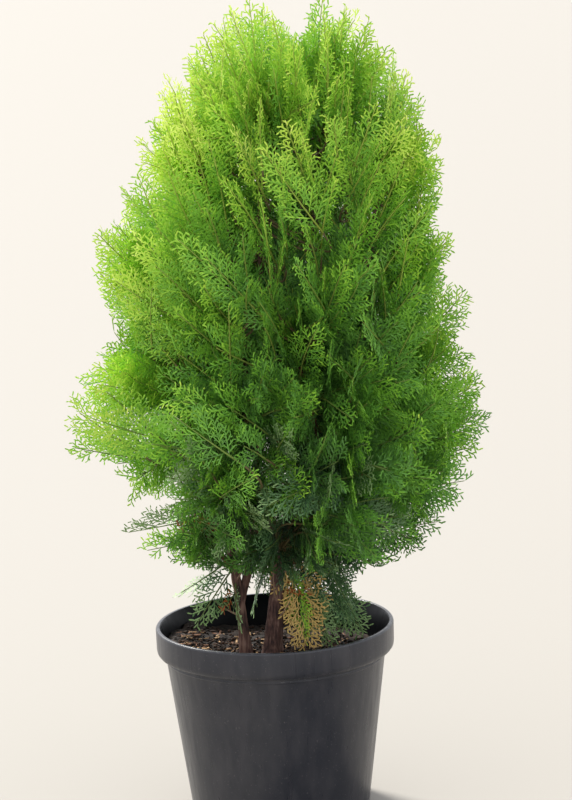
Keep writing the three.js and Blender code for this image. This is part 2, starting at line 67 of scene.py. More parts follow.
_, pot_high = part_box("pot")
rim_radius = pot_high.x
pot_height = pot_high.z
RIM_BAND = 0.022
RIM_OVERHANG = 0.007
BASE_RADIUS = 0.071
POT_WALL = 0.002
POT_FLOOR = 0.003
POT_STEPS = 128
CORNER_RADIUS = 0.0005
body_top = pot_height - RIM_BAND
body_top_radius = rim_radius - RIM_OVERHANG


def body_radius(height):
    """The outside of the pot's tapering body at a height."""
    return BASE_RADIUS + (body_top_radius - BASE_RADIUS) * height / body_top


def turn_profile(bm, profile, steps):
    """Spins a closed profile of (radius, height) points into a solid of revolution."""
    points = [bm.verts.new((radius, 0, height)) for radius, height in profile]
    edges = [bm.edges.new(pair) for pair in zip(points, points[1:])]
    full_turn = {"cent": (0, 0, 0), "axis": (0, 0, 1), "angle": math.tau}
    bmesh.ops.spin(bm, geom=points + edges, steps=steps, use_merge=True, **full_turn)
    bmesh.ops.remove_doubles(bm, verts=bm.verts, dist=1e-6)
    bmesh.ops.recalc_face_normals(bm, faces=bm.faces)


def in_scene(name, mesh):
    """Makes a mesh an object of the scene."""
    piece = bpy.data.objects.new(name, mesh)
    bpy.context.scene.collection.objects.link(piece)
    return piece


def as_piece(name, bm):
    """Makes a shaped mesh an object of the scene."""
    mesh = bpy.data.meshes.new(name)
    bm.to_mesh(mesh)
    bm.free()
    return in_scene(name, mesh)


def settle(piece, slot, *nodes):
    """Fixes a finished piece to the plant's one body, in place of the solids that it stands for."""
    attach(piece, "root")
    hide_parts(*nodes)


def linear(hex_colour):
    """An sRGB hex colour as linear red, green, blue and alpha."""
    parts = [int(hex_colour[i : i + 2], 16) / 255 for i in (1, 3, 5)]
    return (*[c / 12.92 if c <= 0.04045 else ((c + 0.055) / 1.055) ** 2.4 for c in parts], 1)


def add_node(tree, kind, settings=None):
    """Adds a shader node. Settings are its properties, its sockets' values, and what feeds them.

    A node stands for its first output."""
    made = tree.nodes.new("ShaderNode" + kind)
    for key, value in (settings or {}).items():
        if isinstance(value, bpy.types.Node):
            value = value.outputs[0]
        if isinstance(value, bpy.types.NodeSocket):
            tree.links.new(value, made.inputs[key])
        elif isinstance(key, int) or key in made.inputs:
            made.inputs[key].default_value = value
        else:
            setattr(made, key, value)
    return made


def new_material(name):
    """A material with no nodes yet, and its tree."""
    material = bpy.data.materials.new(name)
    material.use_nodes = True
    material.node_tree.nodes.clear()
    return material, material.node_tree


def black_polypropylene(name, black, dust_colour, shine):
    """Satin, moulded, a little dusty: faint upright flow streaks, and pale specks and smears."""
    material, tree = new_material(name)
    place = add_node(tree, "TexCoord").outputs["Object"]
    streak_scale = add_node(tree, "Mapping", {"Scale": (260, 260, 9), "Vector": place})
    streaks = add_node(tree, "TexNoise", {"Scale": 1, "Detail": 3, "Vector": streak_scale})
    smear_scale = add_node(tree, "Mapping", {"Scale": (95, 95, 30), "Vector": place})
    smears = add_node(tree, "TexNoise", {"Scale": 1, "Detail": 6, "Vector": smear_scale})
    specks = add_node(tree, "TexNoise", {"Scale": 620, "Detail": 1, "Vector": place})
    smeared = {"From Min": 0.4, "From Max": 0.8, "To Min": 0, "To Max": 0.22, "Value": smears}
    speckled = {"From Min": 0.68, "From Max": 0.76, "To Min": 0, "To Max": 0.5, "Value": specks}
    glossy = {"From Min": 0.3, "From Max": 0.75, "To Min": 0.26, "To Max": 0.44, "Value": streaks}
    dusty, dotted, gloss = (add_node(tree, "MapRange", way) for way in (smeared, speckled, glossy))
    dust = add_node(tree, "Math", {"operation": "MAXIMUM", 0: dusty, 1: dotted})
    colours = {"data_type": "RGBA", 6: linear(black), 7: linear(dust_colour)}
    colour = add_node(tree, "Mix", {**colours, "Factor": dust}).outputs[2]
    bump = add_node(tree, "Bump", {"Strength": 0.12, "Distance": 0.0004, "Height": streaks})
    finish = {"Base Color": colour, "Roughness": gloss, "Normal": bump}
    shader = add_node(tree, "BsdfPrincipled", {"IOR": 1.49, "Specular IOR Level": shine, **finish})
    add_node(tree, "OutputMaterial", {"Surface": shader})
    return material


def inner_radius(height):
    """The inside of the pot's wall at a height."""
    share = (height - POT_FLOOR) / (body_top + POT_WALL - POT_FLOOR)
    return body_radius(POT_FLOOR) + (body_top_radius - body_radius(POT_FLOOR)) * share - POT_WALL


DRAIN_HOLES = 8
DRAIN_HOLE_RADIUS = 0.005
DRAIN_CIRCLE_RADIUS = 0.058

FOOT_CHAMFER = 0.002
MOULDED_LINE = ((0.1232, 0), (0.1236, 0.0004), (0.1246, 0.0004), (0.1250, 0))  # heights, and how proud
BAND_EDGE = ((0.0022, 0.0004), (0.0006, 0.0026), (0.0002, 0.005))  # inside the rim, over the body
LIP = ((0, 0.0012), (0.0008, 0), (0.003, 0), (0.004, 0.0015))  # inside the rim, below the top

foot = [(0, 0), (BASE_RADIUS - FOOT_CHAMFER, 0), (body_radius(FOOT_CHAMFER), FOOT_CHAMFER)]
moulded_line = [(body_radius(height) + proud, height) for height, proud in MOULDED_LINE]
band_foot = [(body_top_radius, body_top)]
band = band_foot + [(rim_radius - inset, body_top + rise) for inset, rise in BAND_EDGE]
lip = [(rim_radius - inset, pot_height - drop) for inset, drop in LIP]
wall_top = body_top + POT_WALL
inside = [(inner_radius(wall_top), wall_top), (inner_radius(POT_FLOOR), POT_FLOOR), (0, POT_FLOOR)]
pot_mesh = bmesh.new()
turn_profile(pot_mesh, foot + moulded_line + band + lip + inside, POT_STEPS)
pot = as_piece("nursery_pot", pot_mesh)
punch_mesh = bmesh.new()
for hole in range(DRAIN_HOLES):
    turn = math.tau * (hole + 0.5) / DRAIN_HOLES
    centre = Vector((math.cos(turn), math.sin(turn), 0)) * DRAIN_CIRCLE_RADIUS
    bmesh.ops.create_cone(
        punch_mesh,
        cap_ends=True,
        segments=24,
        radius1=DRAIN_HOLE_RADIUS,
        radius2=DRAIN_HOLE_RADIUS,
        depth=4 * POT_FLOOR,
        matrix=Matrix.Translation(centre),
    )
punch = as_piece("drain_punch", punch_mesh)
cut = pot.modifiers.new("drain holes", "BOOLEAN")
cut.object = punch
cut.operation = "DIFFERENCE"
cut.solver = "EXACT"
bpy.context.view_layer.update()
pierced = bpy.data.meshes.new_from_object(pot.evaluated_get(bpy.context.evaluated_depsgraph_get()))
pot.modifiers.clear()
pot.data = pierced
bpy.data.objects.remove(punch)
rounded = pot.modifiers.new("rounded", "BEVEL")
rounded.width = CORNER_RADIUS
rounded.segments = 3
rounded.limit_method = "ANGLE"
rounded.angle_limit = math.radians(28)
pot.data.shade_smooth()
pot.data.materials.clear()
pot.data.materials.append(black_polypropylene("black moulded polypropylene", "#20222a", "#5c585a", 0.5))
# The pot's inside is the same plastic, dealt a near-black copy of its colour and dust and less shine:
# painted shade in the pot's mouth.
pot.data.materials.append(black_polypropylene("black polypropylene inside, painted shade", "#06070b", "#101116", 0.12))
# Faces turned inwards within the wall take the painted shade.
for face in pot.data.polygons:
    out = face.center.xy.length
    inward = face.normal.xy.dot(face.center.xy) < -0.5 * out
    face.material_index = 1 if inward and out > inner_radius(POT_FLOOR) - 0.001 else 0
settle(pot, "pot_plastic", "pot")

# ---- Compost ----------------------------------------------------------------------------
# Dark peat compost, pressed round the stems and left crumbly at the wall, a finger's width
# below the rim. Chips of composted bark lie on it, thickest at the front left.

SOIL_TOP = 0.125
SOIL_RINGS = 70
SOIL_STEPS = 200
SOIL_HEAP = 0.013
SOIL_HEAP_FROM = (0.025, 0.078)
CRUMB_HEIGHTS = ((0.022, 0.0030), (0.009, 0.0022), (0.004, 0.0014))  # lumps' sizes, and how high
GAP = 0.0003  # between parts that touch


def soil_heap(x):
    """How far the compost is heaped up at a distance to the left of the stems."""
    share = np.clip((-x - SOIL_HEAP_FROM[0]) / (SOIL_HEAP_FROM[1] - SOIL_HEAP_FROM[0]), 0, 1)
    return SOIL_HEAP * share * share * (3 - 2 * share)


def soil_height(x, y):
    """The compost's surface, built up from lumps of three sizes."""
    wave = sum(high * noise.noise(Vector((x, y, 0)) / size) for size, high in CRUMB_HEIGHTS)
    return SOIL_TOP + wave + soil_heap(x)


def peat():
    """Moist peat: near black in its pores, brown on the crumbs that have dried."""
    material, tree = new_material("moist peat compost")
    place = add_node(tree, "TexCoord").outputs["Object"]
    crumbs = add_node(tree, "TexNoise", {"Scale": 420, "Detail": 5, "Roughness": 0.7, "Vector": place})
    patches = add_node(tree, "TexNoise", {"Scale": 60, "Detail": 3, "Vector": place})
    both = add_node(tree, "Math", {"operation": "MULTIPLY", 0: crumbs, 1: patches})
    ramp = add_node(tree, "ValToRGB", {"Fac": both})
    for element, at, colour in zip(ramp.color_ramp.elements, (0.16, 0.42), ("#0f0b09", "#3a2b22")):
        element.position = at
        element.color = linear(colour)
    bump = add_node(tree, "Bump", {"Strength": 0.7, "Distance": 0.001, "Height": crumbs})
    finish = {"Base Color": ramp, "Normal": bump, "Roughness": 0.92, "IOR": 1.4}
    add_node(tree, "OutputMaterial", {"Surface": add_node(tree, "BsdfPrincipled", finish)})
    return material


soil_edge = inner_radius(SOIL_TOP) - GAP
soil_bottom = [(0, POT_FLOOR + GAP), (inner_radius(POT_FLOOR) - 0.0005, POT_FLOOR + GAP)]
soil_mesh = bmesh.new()
surface_line = [(soil_edge * (1 - ring / SOIL_RINGS), SOIL_TOP) for ring in range(SOIL_RINGS + 1)]
turn_profile(soil_mesh, soil_bottom + surface_line, SOIL_STEPS)
for vertex in soil_mesh.verts:
    if vertex.co.z > SOIL_TOP - 0.001:
        height = soil_height(vertex.co.x, vertex.co.y)
        wider = inner_radius(height) / inner_radius(SOIL_TOP)
        vertex.co = Vector((vertex.co.x * wider, vertex.co.y * wider, height))
soil = as_piece("peat_compost", soil_mesh)
soil.data.shade_smooth()
soil.data.materials.append(peat())
settle(soil, "soil", "soil")


def plain_material(name, colour, roughness):
    """One even colour with its own gloss, for things too small to carry a pattern."""
    material, tree = new_material(name)
    finish = {"Base Color": linear(colour), "Roughness": roughness, "IOR": 1.4}
    add_node(tree, "OutputMaterial", {"Surface": add_node(tree, "BsdfPrincipled", finish)})
    return material


def joined(name, points, faces, tones, materials):
    """One mesh object from arrays of corners and of faces, each face with the tone it is dealt."""
    mesh = bpy.data.meshes.new(name)
    mesh.vertices.add(len(points))
    mesh.vertices.foreach_set("co", np.ascontiguousarray(points, np.float32).ravel())
    mesh.loops.add(faces.size)
    mesh.loops.foreach_set("vertex_index", faces.astype(np.int32).ravel())
    mesh.polygons.add(len(faces))
    mesh.polygons.foreach_set("loop_start", np.arange(0, faces.size, faces.shape[1], dtype=np.int32))
    for material in materials:
        mesh.materials.append(material)
    mesh.polygons.foreach_set("material_index", tones.astype(np.int32))
    mesh.update(calc_edges=True)
    return in_scene(name, mesh)


LITTER_SPREAD = 0.05
LITTER_OFF_WALL = 0.004
LITTER_TILT = 0.35
LITTER_RAISED = 0.3  # share of its thickness by which a bit's middle lies above the compost
LITTER_SEED = 5


def scattered(name, template, count, rng, sizes, bias, tones, materials):
    """Small bits laid at random on the compost, half sunk.

    sizes are the least and most of each measure, bias pulls the bits towards a side, and tones
    are the shares of the materials."""
    corners = np.array([v.co for v in template.verts])
    shape = np.array([[v.index for v in face.verts] for face in template.faces])
    points, faces, dealt = [], [], []
    while len(points) < count:
        x, y = rng.normal(0, LITTER_SPREAD, 2) + np.array(bias) * rng.random()
        if math.hypot(x, y) > soil_edge - LITTER_OFF_WALL:
            continue
        size = np.array([rng.uniform(*pair) for pair in sizes])
        turned = Matrix.Rotation(rng.uniform(0, math.tau), 3, "Z")
        tilt = turned @ Matrix.Rotation(rng.normal(0, LITTER_TILT), 3, "X")
        at = (x, y, soil_height(x, y) + LITTER_RAISED * size[2])
        placed = corners * size @ np.array(tilt).T + at
        faces.append(shape + len(points) * len(corners))
        points.append(placed)
        dealt.append(np.full(len(shape), rng.choice(len(tones), p=tones)))
    return joined(name, *(np.concatenate(parts) for parts in (points, faces, dealt)), materials)


litter = np.random.default_rng(LITTER_SEED)
chip_shape = bmesh.new()
bmesh.ops.create_cube(chip_shape, size=1)
edges = {"geom": chip_shape.edges, "affect": "EDGES"}
bmesh.ops.bevel(chip_shape, **edges, offset=0.16, segments=1, profile=0.5, material=-1)
bmesh.ops.triangulate(chip_shape, faces=chip_shape.faces)
chip_looks = (("weathered", "#b08e68"), ("brown", "#6f4c36"), ("dark", "#35241a"))
chips = scattered(
    "bark_chips",
    chip_shape,
    count=380,
    rng=litter,
    sizes=((0.004, 0.015), (0.0008, 0.0020), (0.0004, 0.0010)),
    bias=(-0.12, -0.07),
    tones=(0.32, 0.4, 0.28),
    materials=[plain_material(f"{look} bark chip", colour, 0.85) for look, colour in chip_looks],
)
settle(chips, "soil", "soil")
crumb_shape = bmesh.new()
bmesh.ops.create_icosphere(crumb_shape, subdivisions=1, radius=0.5)
crumb_looks = (("dark", "#1b120d"), ("dry", "#3e2b1f"))
crumbs = scattered(
    "peat_crumbs",
    crumb_shape,
    count=1500,
    rng=litter,
    sizes=((0.0015, 0.0045), (0.0015, 0.0035), (0.001, 0.0028)),
    bias=(0, 0),
    tones=(0.6, 0.4),
    materials=[plain_material(f"{look} peat crumb", colour, 0.95) for look, colour in crumb_looks],
)
settle(crumbs, "soil", "soil")

# ---- Stems and boughs -------------------------------------------------------------------
# Two stems come out of the compost and fork low down into five, close together and almost
# upright. Their bark is thin and reddish brown, and it peels in narrow upright strips.

STEMS = {
    "trunk": {
        "through": [(-3, 0, 121), (4, 3, 180), (22, 9, 262), (36, 15, 390), (49, 14, 525)],
        "radii": (0.0075, 0.002),
        "flare": 0.0035,
    },
    "stem_left": {
        "through": [(-23, -6, 121), (-29, -9, 190), (-39, -12, 265), (-46, -9, 370), (-45, -4, 485)],
        "radii": (0.0046, 0.0019),
        "flare": 0.0016,
    },
    "stem_centre": {
        "through": [(-27, -8, 168), (-15, -6, 215), (-9, -12, 290), (-2, -19, 400), (3, -20, 520)],
        "radii": (0.0036, 0.0019),
        "flare": 0,
    },
    "stem_right": {
        "through": [(5, 3, 182), (31, -3, 245), (50, -8, 300), (74, -10, 380), (91, -8, 480)],
        "radii": (0.0038, 0.0019),
        "flare": 0,
    },
    "stem_back": {
        "through": [(3, 2, 165), (0, 22, 215), (4, 40, 280), (14, 56, 370), (24, 66, 480)],
        "radii": (0.0038, 0.0019),
        "flare": 0,
    },
}
MM = 0.001  # the points of a stem's way are in millimetres
STEM_TAPER = 0.8
FLARE_HEIGHT = 0.016
SEED = 50


def seeded(seed):
    """The plant's own stream of numbers from 0 to 1."""
    mask = 0xFFFFFFFF
    state = seed & mask
    while True:
        state = (state + 0x6D2B79F5) & mask
        t = state
        t = ((t ^ (t >> 15)) * (t | 1)) & mask
        t ^= (t + (t ^ (t >> 7)) * (t | 61)) & mask
        yield (t ^ (t >> 14)) / 4294967296


def lerp(low, high, share):
    """The value that lies a share of the way from low to high."""
    return low + (high - low) * share


def unit(vectors):
    """Vectors cut or stretched to a length of one."""
    return vectors / np.linalg.norm(vectors, axis=-1, keepdims=True)


def heading(bearing, slope):
    """A unit vector by its bearing and its slope above the horizontal, in degrees."""
    b, s = math.radians(bearing), math.radians(slope)
    return np.array([math.cos(b) * math.cos(s), math.sin(b) * math.cos(s), math.sin(s)])


def smooth_way(points):
    """The smooth curve through some points, as a function of the share of the way."""
    p = np.array(points, float)
    count = len(p) - 1
    p = np.vstack([2 * p[0] - p[1], p, 2 * p[-1] - p[-2]])

    def at(share):
        place = np.clip(np.asarray(share, float), 0, 1) * count
        i = np.minimum(place.astype(int), count - 1)
        w = (place - i)[..., None]
        a, b, c, d = p[i], p[i + 1], p[i + 2], p[i + 3]
        start, end = (c - a) / 2, (d - b) / 2
        squared = 3 * (c - b) - 2 * start - end
        cubed = 2 * (b - c) + start + end
        return b + start * w + squared * w**2 + cubed * w**3

    return at


def bent_way(a, b, c):
    """The curve from a to c that b pulls on, as a function of the share of the way."""

    def at(share):
        w = np.clip(np.asarray(share, float), 0, 1)[..., None]
        return (1 - w) ** 2 * a + 2 * (1 - w) * w * b + w**2 * c

    return at


def direction(way, share):
    """The unit direction of a curve at a share of the way."""
    step = 1e-4
    return unit(way(min(1, share + step)) - way(max(0, share - step)))


def stem_radius(stem):
    """A stem's radius at each share of the way: it thins fastest low down, above its root flare."""
    height = (stem["through"][-1][2] - stem["through"][0][2]) * MM

    def at(share):
        thick = lerp(*stem["radii"], share**STEM_TAPER)
        return thick + stem["flare"] * np.exp(-share * height / FLARE_HEIGHT)

    return at


stems = [
    {"name": name, "way": smooth_way(np.array(stem["through"]) * MM), "radius": stem_radius(stem)}
    for name, stem in STEMS.items()
]

# The crown's outline: an egg, widest at a third of its height, with a slight waist above that
# and a head that stands over to the right.
CROWN_TOP = 0.664
CROWN_WIDEST = 0.330
CROWN_FOOT = 0.160
CROWN_RADIUS = 0.168
CROWN_TAPER = (1.75, 1.2)  # below and above its widest
CROWN_OFFSET = 0.006
CROWN_LEAN = 0.022
LEAN_FROM = (0.455, 0.545)
WAIST = {"height": 0.415, "tall": 0.028, "depth": 0.04, "shift": 0.009}


def waist(z):
    """How much of the waist there is at a height, from 0 to 1."""
    return np.exp(-(((z - WAIST["height"]) / WAIST["tall"]) ** 2))


def crown_radius(z):
    """The distance from the crown's axis to its outline at a height."""
    above = z > CROWN_WIDEST
    share = (z - CROWN_WIDEST) / (np.where(above, CROWN_TOP, CROWN_FOOT) - CROWN_WIDEST)
    taper = np.where(above, CROWN_TAPER[1], CROWN_TAPER[0])
    egg = CROWN_RADIUS * np.sqrt(1 - np.clip(share, 0, 1) ** taper)
    return egg * (1 - WAIST["depth"] * waist(z))


def crown_axis(z):
    """Where the crown's axis is at a height."""
    share = np.clip((z - LEAN_FROM[0]) / (LEAN_FROM[1] - LEAN_FROM[0]), 0, 1)
    x = CROWN_OFFSET + CROWN_LEAN * share**2 * (3 - 2 * share) + WAIST["shift"] * waist(z)
    return np.stack([x, 0 * x, z + 0 * x], axis=-1)


# The masses of foliage in tiers: how many, the first one's bearing, the height that a mass
# reaches, its last spray's slope, the lengths of its spray and twig, how far below the twig
# its bough leaves the stem, and the places for sprays.
TIER_MEASURES = ("count", "first", "tip", "rise", "spray", "twig", "drop", "places")
TIER_ROWS = {
    "skirt": (5, 342, 0.206, -26, 0.072, 0.026, 0.022, 6),
    "low": (6, 0, 0.296, 10, 0.092, 0.044, 0.034, 9),
    "middle": (6, 8, 0.380, 32, 0.096, 0.048, 0.042, 9),
    "upper": (6, 350, 0.474, 54, 0.094, 0.052, 0.044, 9),
}
TIERS = {tier: dict(zip(TIER_MEASURES, row)) for tier, row in TIER_ROWS.items()}
LEAST_SHARE = 0.5
LEAST_BOUGH = 0.014
TWIG_RISE = 0.7
BEARING_JITTER = 8
HEIGHT_JITTER = 0.017
REACH = (0.97, 1.03)
STEM_SPREAD = 0.8
STEM_ENDS = 0.006
BOUGH_BEND = (0.6, 0.36)
BOUGH_RADII = (0.0027, 0.0017)
LEADER_LEAN = 0.8
LEADER_TIPS = dict(zip(STEMS, (0.647, 0.622, 0.648, 0.616, 0.622)))
LEADER_SPRAY = 0.088
LEADER_PLACES = 9
TWIG_END_RADIUS = 0.0012
CENTRE = (0.7, 0.25)


def stem_at(stem, z):
    """The point on a stem's way at a height."""
    low, high = 0.0, 1.0
    for _ in range(30):
        middle = (low + high) / 2
        if stem["way"](middle)[2] < z:
            low = middle
        else:
            high = middle
    return stem["way"](low)


def stem_towards(bearing, z):
    """The stem that stands furthest towards a bearing, so that a bough from it meets no other."""
    towards = heading(bearing, 0)

    def score(stem):
        off = stem_at(stem, z) - crown_axis(z)
        off[2] = 0
        forward = off @ towards
        return forward - STEM_SPREAD * math.sqrt(max(0, off @ off - forward**2))

    reaching = [s for s in stems if s["way"](0)[2] < z - STEM_ENDS and s["way"](1)[2] > z + STEM_ENDS]
    return max(reaching, key=score)


def even_taper(start, end):
    """A radius that shrinks evenly along a limb."""
    return lambda share: lerp(start, end, share)


def tier_mass(tier, i, random):
    """One mass of a tier with its bough, worked back from where its last spray ends."""
    rule = TIERS[tier]
    bearing = rule["first"] + 360 * i / rule["count"] + BEARING_JITTER * (next(random) * 2 - 1)
    tip = rule["tip"] + HEIGHT_JITTER * (next(random) * 2 - 1)
    reach = crown_radius(tip) * lerp(*REACH, next(random))
    target = crown_axis(tip) + heading(bearing, 0) * reach
    rise, twig_rise = rule["rise"], rule["rise"] * TWIG_RISE
    entry_z = tip - math.sin(math.radians(rise)) * (rule["spray"] + TWIG_RISE * rule["twig"])
    stem = stem_towards(bearing, entry_z - rule["drop"])
    depth = (target - stem_at(stem, entry_z)) @ heading(bearing, 0)
    level, twig_level = math.cos(math.radians(rise)), math.cos(math.radians(twig_rise))
    full = rule["spray"] * level + rule["twig"] * twig_level
    share = min(1, max(LEAST_SHARE, (depth - LEAST_BOUGH) / full))
    spray = rule["spray"] * share
    twig_end = target - heading(bearing, rise) * spray
    entry = twig_end - heading(bearing, twig_rise) * rule["twig"] * share
    root = stem_at(stem, entry[2] - rule["drop"])
    bend = root + (entry - root) * BOUGH_BEND[0]
    bend[2] = lerp(root[2], entry[2], BOUGH_BEND[1])
    bough = {"way": bent_way(root, bend, entry), "radius": even_taper(*BOUGH_RADII)}
    return {
        "name": f"{tier}_{i + 1}",
        "tier": tier,
        "bough": bough,
        "before": bough,
        "bearing": bearing,
        "rise": rise,
        "places": rule["places"],
        "spray": spray,
        "entry": entry,
        "twig_end": twig_end,
    }


def leader_mass(stem):
    """A leader: the mass that carries on from a stem's tip."""
    entry = stem["way"](1.0)
    tangent = direction(stem["way"], 1)
    out = unit(np.array([tangent[0] * LEADER_LEAN, tangent[1] * LEADER_LEAN, 1]))
    rest = LEADER_TIPS[stem["name"]] - LEADER_SPRAY - entry[2]
    return {
        "name": "leader_" + stem["name"].replace("stem_", ""),
        "tier": "leader",
        "bough": None,
        "before": stem,
        "bearing": math.degrees(math.atan2(entry[1], entry[0] - crown_axis(entry[2])[0])),
        "rise": math.degrees(math.asin(out[2])),
        "places": LEADER_PLACES,
        "spray": LEADER_SPRAY,
        "entry": entry,
        "twig_end": entry + out * rest / out[2],
    }


def with_twig(mass):
    """Gives a mass its twig, which carries on from its bough or stem, and the centre of its space."""
    tangent = direction(mass["before"]["way"], 1)
    start = mass["entry"] + tangent * GAP
    bend = start + tangent * np.linalg.norm(mass["twig_end"] - start) / 2
    way = bent_way(start, bend, mass["twig_end"])
    thick = mass["before"]["radius"](1.0)
    mass["twig"] = {"way": way, "radius": even_taper(thick, TWIG_END_RADIUS)}
    mass["centre"] = way(CENTRE[0]) + heading(mass["bearing"], mass["rise"]) * mass["spray"] * CENTRE[1]
    return mass


layout = seeded(SEED + 1)
tier_masses = [tier_mass(tier, i, layout) for tier in TIERS for i in range(TIERS[tier]["count"])]
masses = [with_twig(mass) for mass in tier_masses + [leader_mass(stem) for stem in stems]]


BARK_STRIPS = (2.6, 34)  # how many round a limb, and along a metre of it
BARK_FIBRES = (6, 60)
BARK_SEED = 3


def wrapped_limb(bm, limb, sides, steps, relief):
    """Adds a limb: a strip of bark wrapped round its way and drawn in to its radius.

    relief is how far the strips of bark stand out, as a share of the radius."""
    made = bmesh.ops.create_grid(bm, x_segments=sides, y_segments=steps, size=1)["verts"]
    shares = np.linspace(0, 1, steps + 1)
    centres = limb["way"](shares)
    along = unit(np.gradient(centres, axis=0))
    reference = np.eye(3)[np.abs(along).max(axis=0).argmin()]
    across = unit(np.cross(along, reference))
    back = np.cross(across, along)
    offset = noise.random() * 40
    for vertex in made:
        row = round((vertex.co.y + 1) / 2 * steps)
        turn = (vertex.co.x + 1) * math.pi
        rim = Vector((math.cos(turn), math.sin(turn), 0))
        radius = float(limb["radius"](shares[row]))
        high = centres[row][2]
        strips, fibres = (
            noise.noise(Vector((rim.x * turns + shift, rim.y * turns, high * rate)))
            for (turns, rate), shift in ((BARK_STRIPS, offset), (BARK_FIBRES, -offset))
        )
        radius *= 1 + relief * (strips + 0.5 * fibres)
        vertex.co = Vector(centres[row] + (across[row] * rim.x + back[row] * rim.y) * radius)


def wrapped_piece(name, limbs, sides, steps, relief):
    """One piece of several limbs, each with its seam welded and its ends closed."""
    bm = bmesh.new()
    for limb in limbs:
        wrapped_limb(bm, limb, sides, steps, relief)
    bmesh.ops.remove_doubles(bm, verts=bm.verts, dist=2e-6)
    bmesh.ops.holes_fill(bm, edges=[edge for edge in bm.edges if edge.is_boundary], sides=0)
    bmesh.ops.recalc_face_normals(bm, faces=bm.faces)
    bmesh.ops.triangulate(bm, faces=[face for face in bm.faces if len(face.verts) > 4])
    piece = as_piece(name, bm)
    piece.data.shade_smooth()
    return piece


def peeling_bark(name, pale, mid, deep):
    """Thin fibrous bark: brown strips with pale dry edges over deep, reddish furrows."""
    material, tree = new_material(name)
    place = add_node(tree, "TexCoord").outputs["Object"]
    stretched = add_node(tree, "Mapping", {"Scale": (1, 1, 0.09), "Vector": place})
    fibrous = {"Scale": 700, "Detail": 5, "Roughness": 0.62, "Vector": stretched}
    strips = add_node(tree, "TexNoise", fibrous)
    patches = add_node(tree, "TexNoise", {"Scale": 70, "Detail": 2, "Vector": place})
    both = add_node(tree, "Mix", {"data_type": "FLOAT", "Factor": 0.5, "A": strips, "B": patches})
    ramp = add_node(tree, "ValToRGB", {"Fac": both})
    elements = ramp.color_ramp.elements
    elements[0].position = 0.38
    elements[0].color = linear(deep)
    elements[1].position = 0.63
    elements[1].color = linear(pale)
    elements.new(0.5).color = linear(mid)
    bump = add_node(tree, "Bump", {"Strength": 0.6, "Distance": 0.0006, "Height": strips})
    finish = {"Base Color": ramp, "Normal": bump, "Roughness": 0.82, "IOR": 1.45}
    add_node(tree, "OutputMaterial", {"Surface": add_node(tree, "BsdfPrincipled", finish)})
    return material


noise.seed_set(BARK_SEED)
old_bark = peeling_bark("peeling stem bark", "#83675a", "#543a33", "#271a18")
young_bark = peeling_bark("young bough bark", "#94684a", "#6b4431", "#3e271d")
for stem in stems:
    bark = wrapped_piece(f"{stem['name']}_bark", [stem], sides=24, steps=150, relief=0.2)
    bark.data.materials.append(old_bark)
    settle(bark, "bark", stem["name"])
boughs = [mass["bough"] for mass in tier_masses]
bough_bark = wrapped_piece("bough_bark", boughs, sides=12, steps=24, relief=0.12)
bough_bark.data.materials.append(young_bark)
settle(bough_bark, "bark", *[f"bough_{mass['name']}" for mass in tier_masses])

# ---- Sprays -----------------------------------------------------------------------------
# Each mass is a twig that carries flat fans of scale-leaved shoots, most of them on edge.
# A fan's midrib bears side shoots in turn to either side, and those bear shoots again.

# Where a mass's own sprays stand on its twig, how long they are, and how they are aimed.
PLACES = (0.1, 0.94)
LAST_PLACE = 0.97
TRIES = 30
SHRINK = (1, 0.84, 0.7)
SHORTEST_SPRAY = 0.030
SIDE_SIZE = (0.8, 1)
LAST_SPLAY = 8
SPLAY = (32, 72)
TURN = (15, 135)
GOLDEN_TURN = 137.5
TURN_JITTER = 0.25
TWIST = 26
STEEP = 0.4
FRONT = 270
TWIG_STEPS = 4
# The outline of a whole spray, in shares of its length.
SPRAY_WIDTH = 0.4
SPRAY_NOTCH = 0.42
SPRAY_THICK = 0.03
SPRAY_LOBES = 3
SPRAY_STALK = (0.06, 0.86)
SPRAY_NECK = 0.05
SPRAY_SHAPE = (0.3, 0.86)
RIDGE_END = 0.6
LOBE_FORWARD = 0.23
NOTCH_FORWARD = 0.05
ROOT_FREE = 0.08
# What sprays keep clear of.
LIMB_CLEAR = 0.0015
BEAD_SPACING = 0.003
WAY_POINTS = 201
CROWN_FRINGE = 0.008
SOIL_CLEAR = 0.004
RIM_CLEAR = 0.008


def blade_template():
    """A spray's outline and ribs in shares of its length: forward, sideways and out of its face."""
    corners = [(0, 0, 0), (1, 0, 0)]
    fronts, lobes = [], []
    for i in range(SPRAY_LOBES + 1):
        share = i / SPRAY_LOBES
        forward = lerp(*SPRAY_STALK, share)
        thick = SPRAY_THICK / 2 * lerp(1, RIDGE_END, share)
        lobe = SPRAY_WIDTH * math.sin(math.pi * lerp(*SPRAY_SHAPE, share))
        notch = lobe * SPRAY_NOTCH if i else SPRAY_NECK
        fronts.append((forward, 0, thick))
        corners += [(forward, 0, thick), (forward, 0, -thick)]
        corners += [(forward + NOTCH_FORWARD, side * notch, 0) for side in (1, -1)]
        if i < SPRAY_LOBES:
            lobes.append([(forward + LOBE_FORWARD, side * lobe, 0) for side in (1, -1)])
            corners += lobes[i]
    ribs = [(fronts[0], (1, 0, 0))]
    ribs += [(fronts[i + 1], tip) for i, pair in enumerate(lobes) for tip in pair]
    return np.array(corners, float), np.array(ribs, float)


BLADE, RIBS = blade_template()


def limb_beads(limb):
    """Spheres along a limb, as centres and radii."""
    line = limb["way"](np.linspace(0, 1, WAY_POINTS))
    length = np.linalg.norm(np.diff(line, axis=0), axis=1).sum()
    shares = np.linspace(0, 1, math.ceil(length / BEAD_SPACING) + 1)
    return limb["way"](shares), limb["radius"](shares)


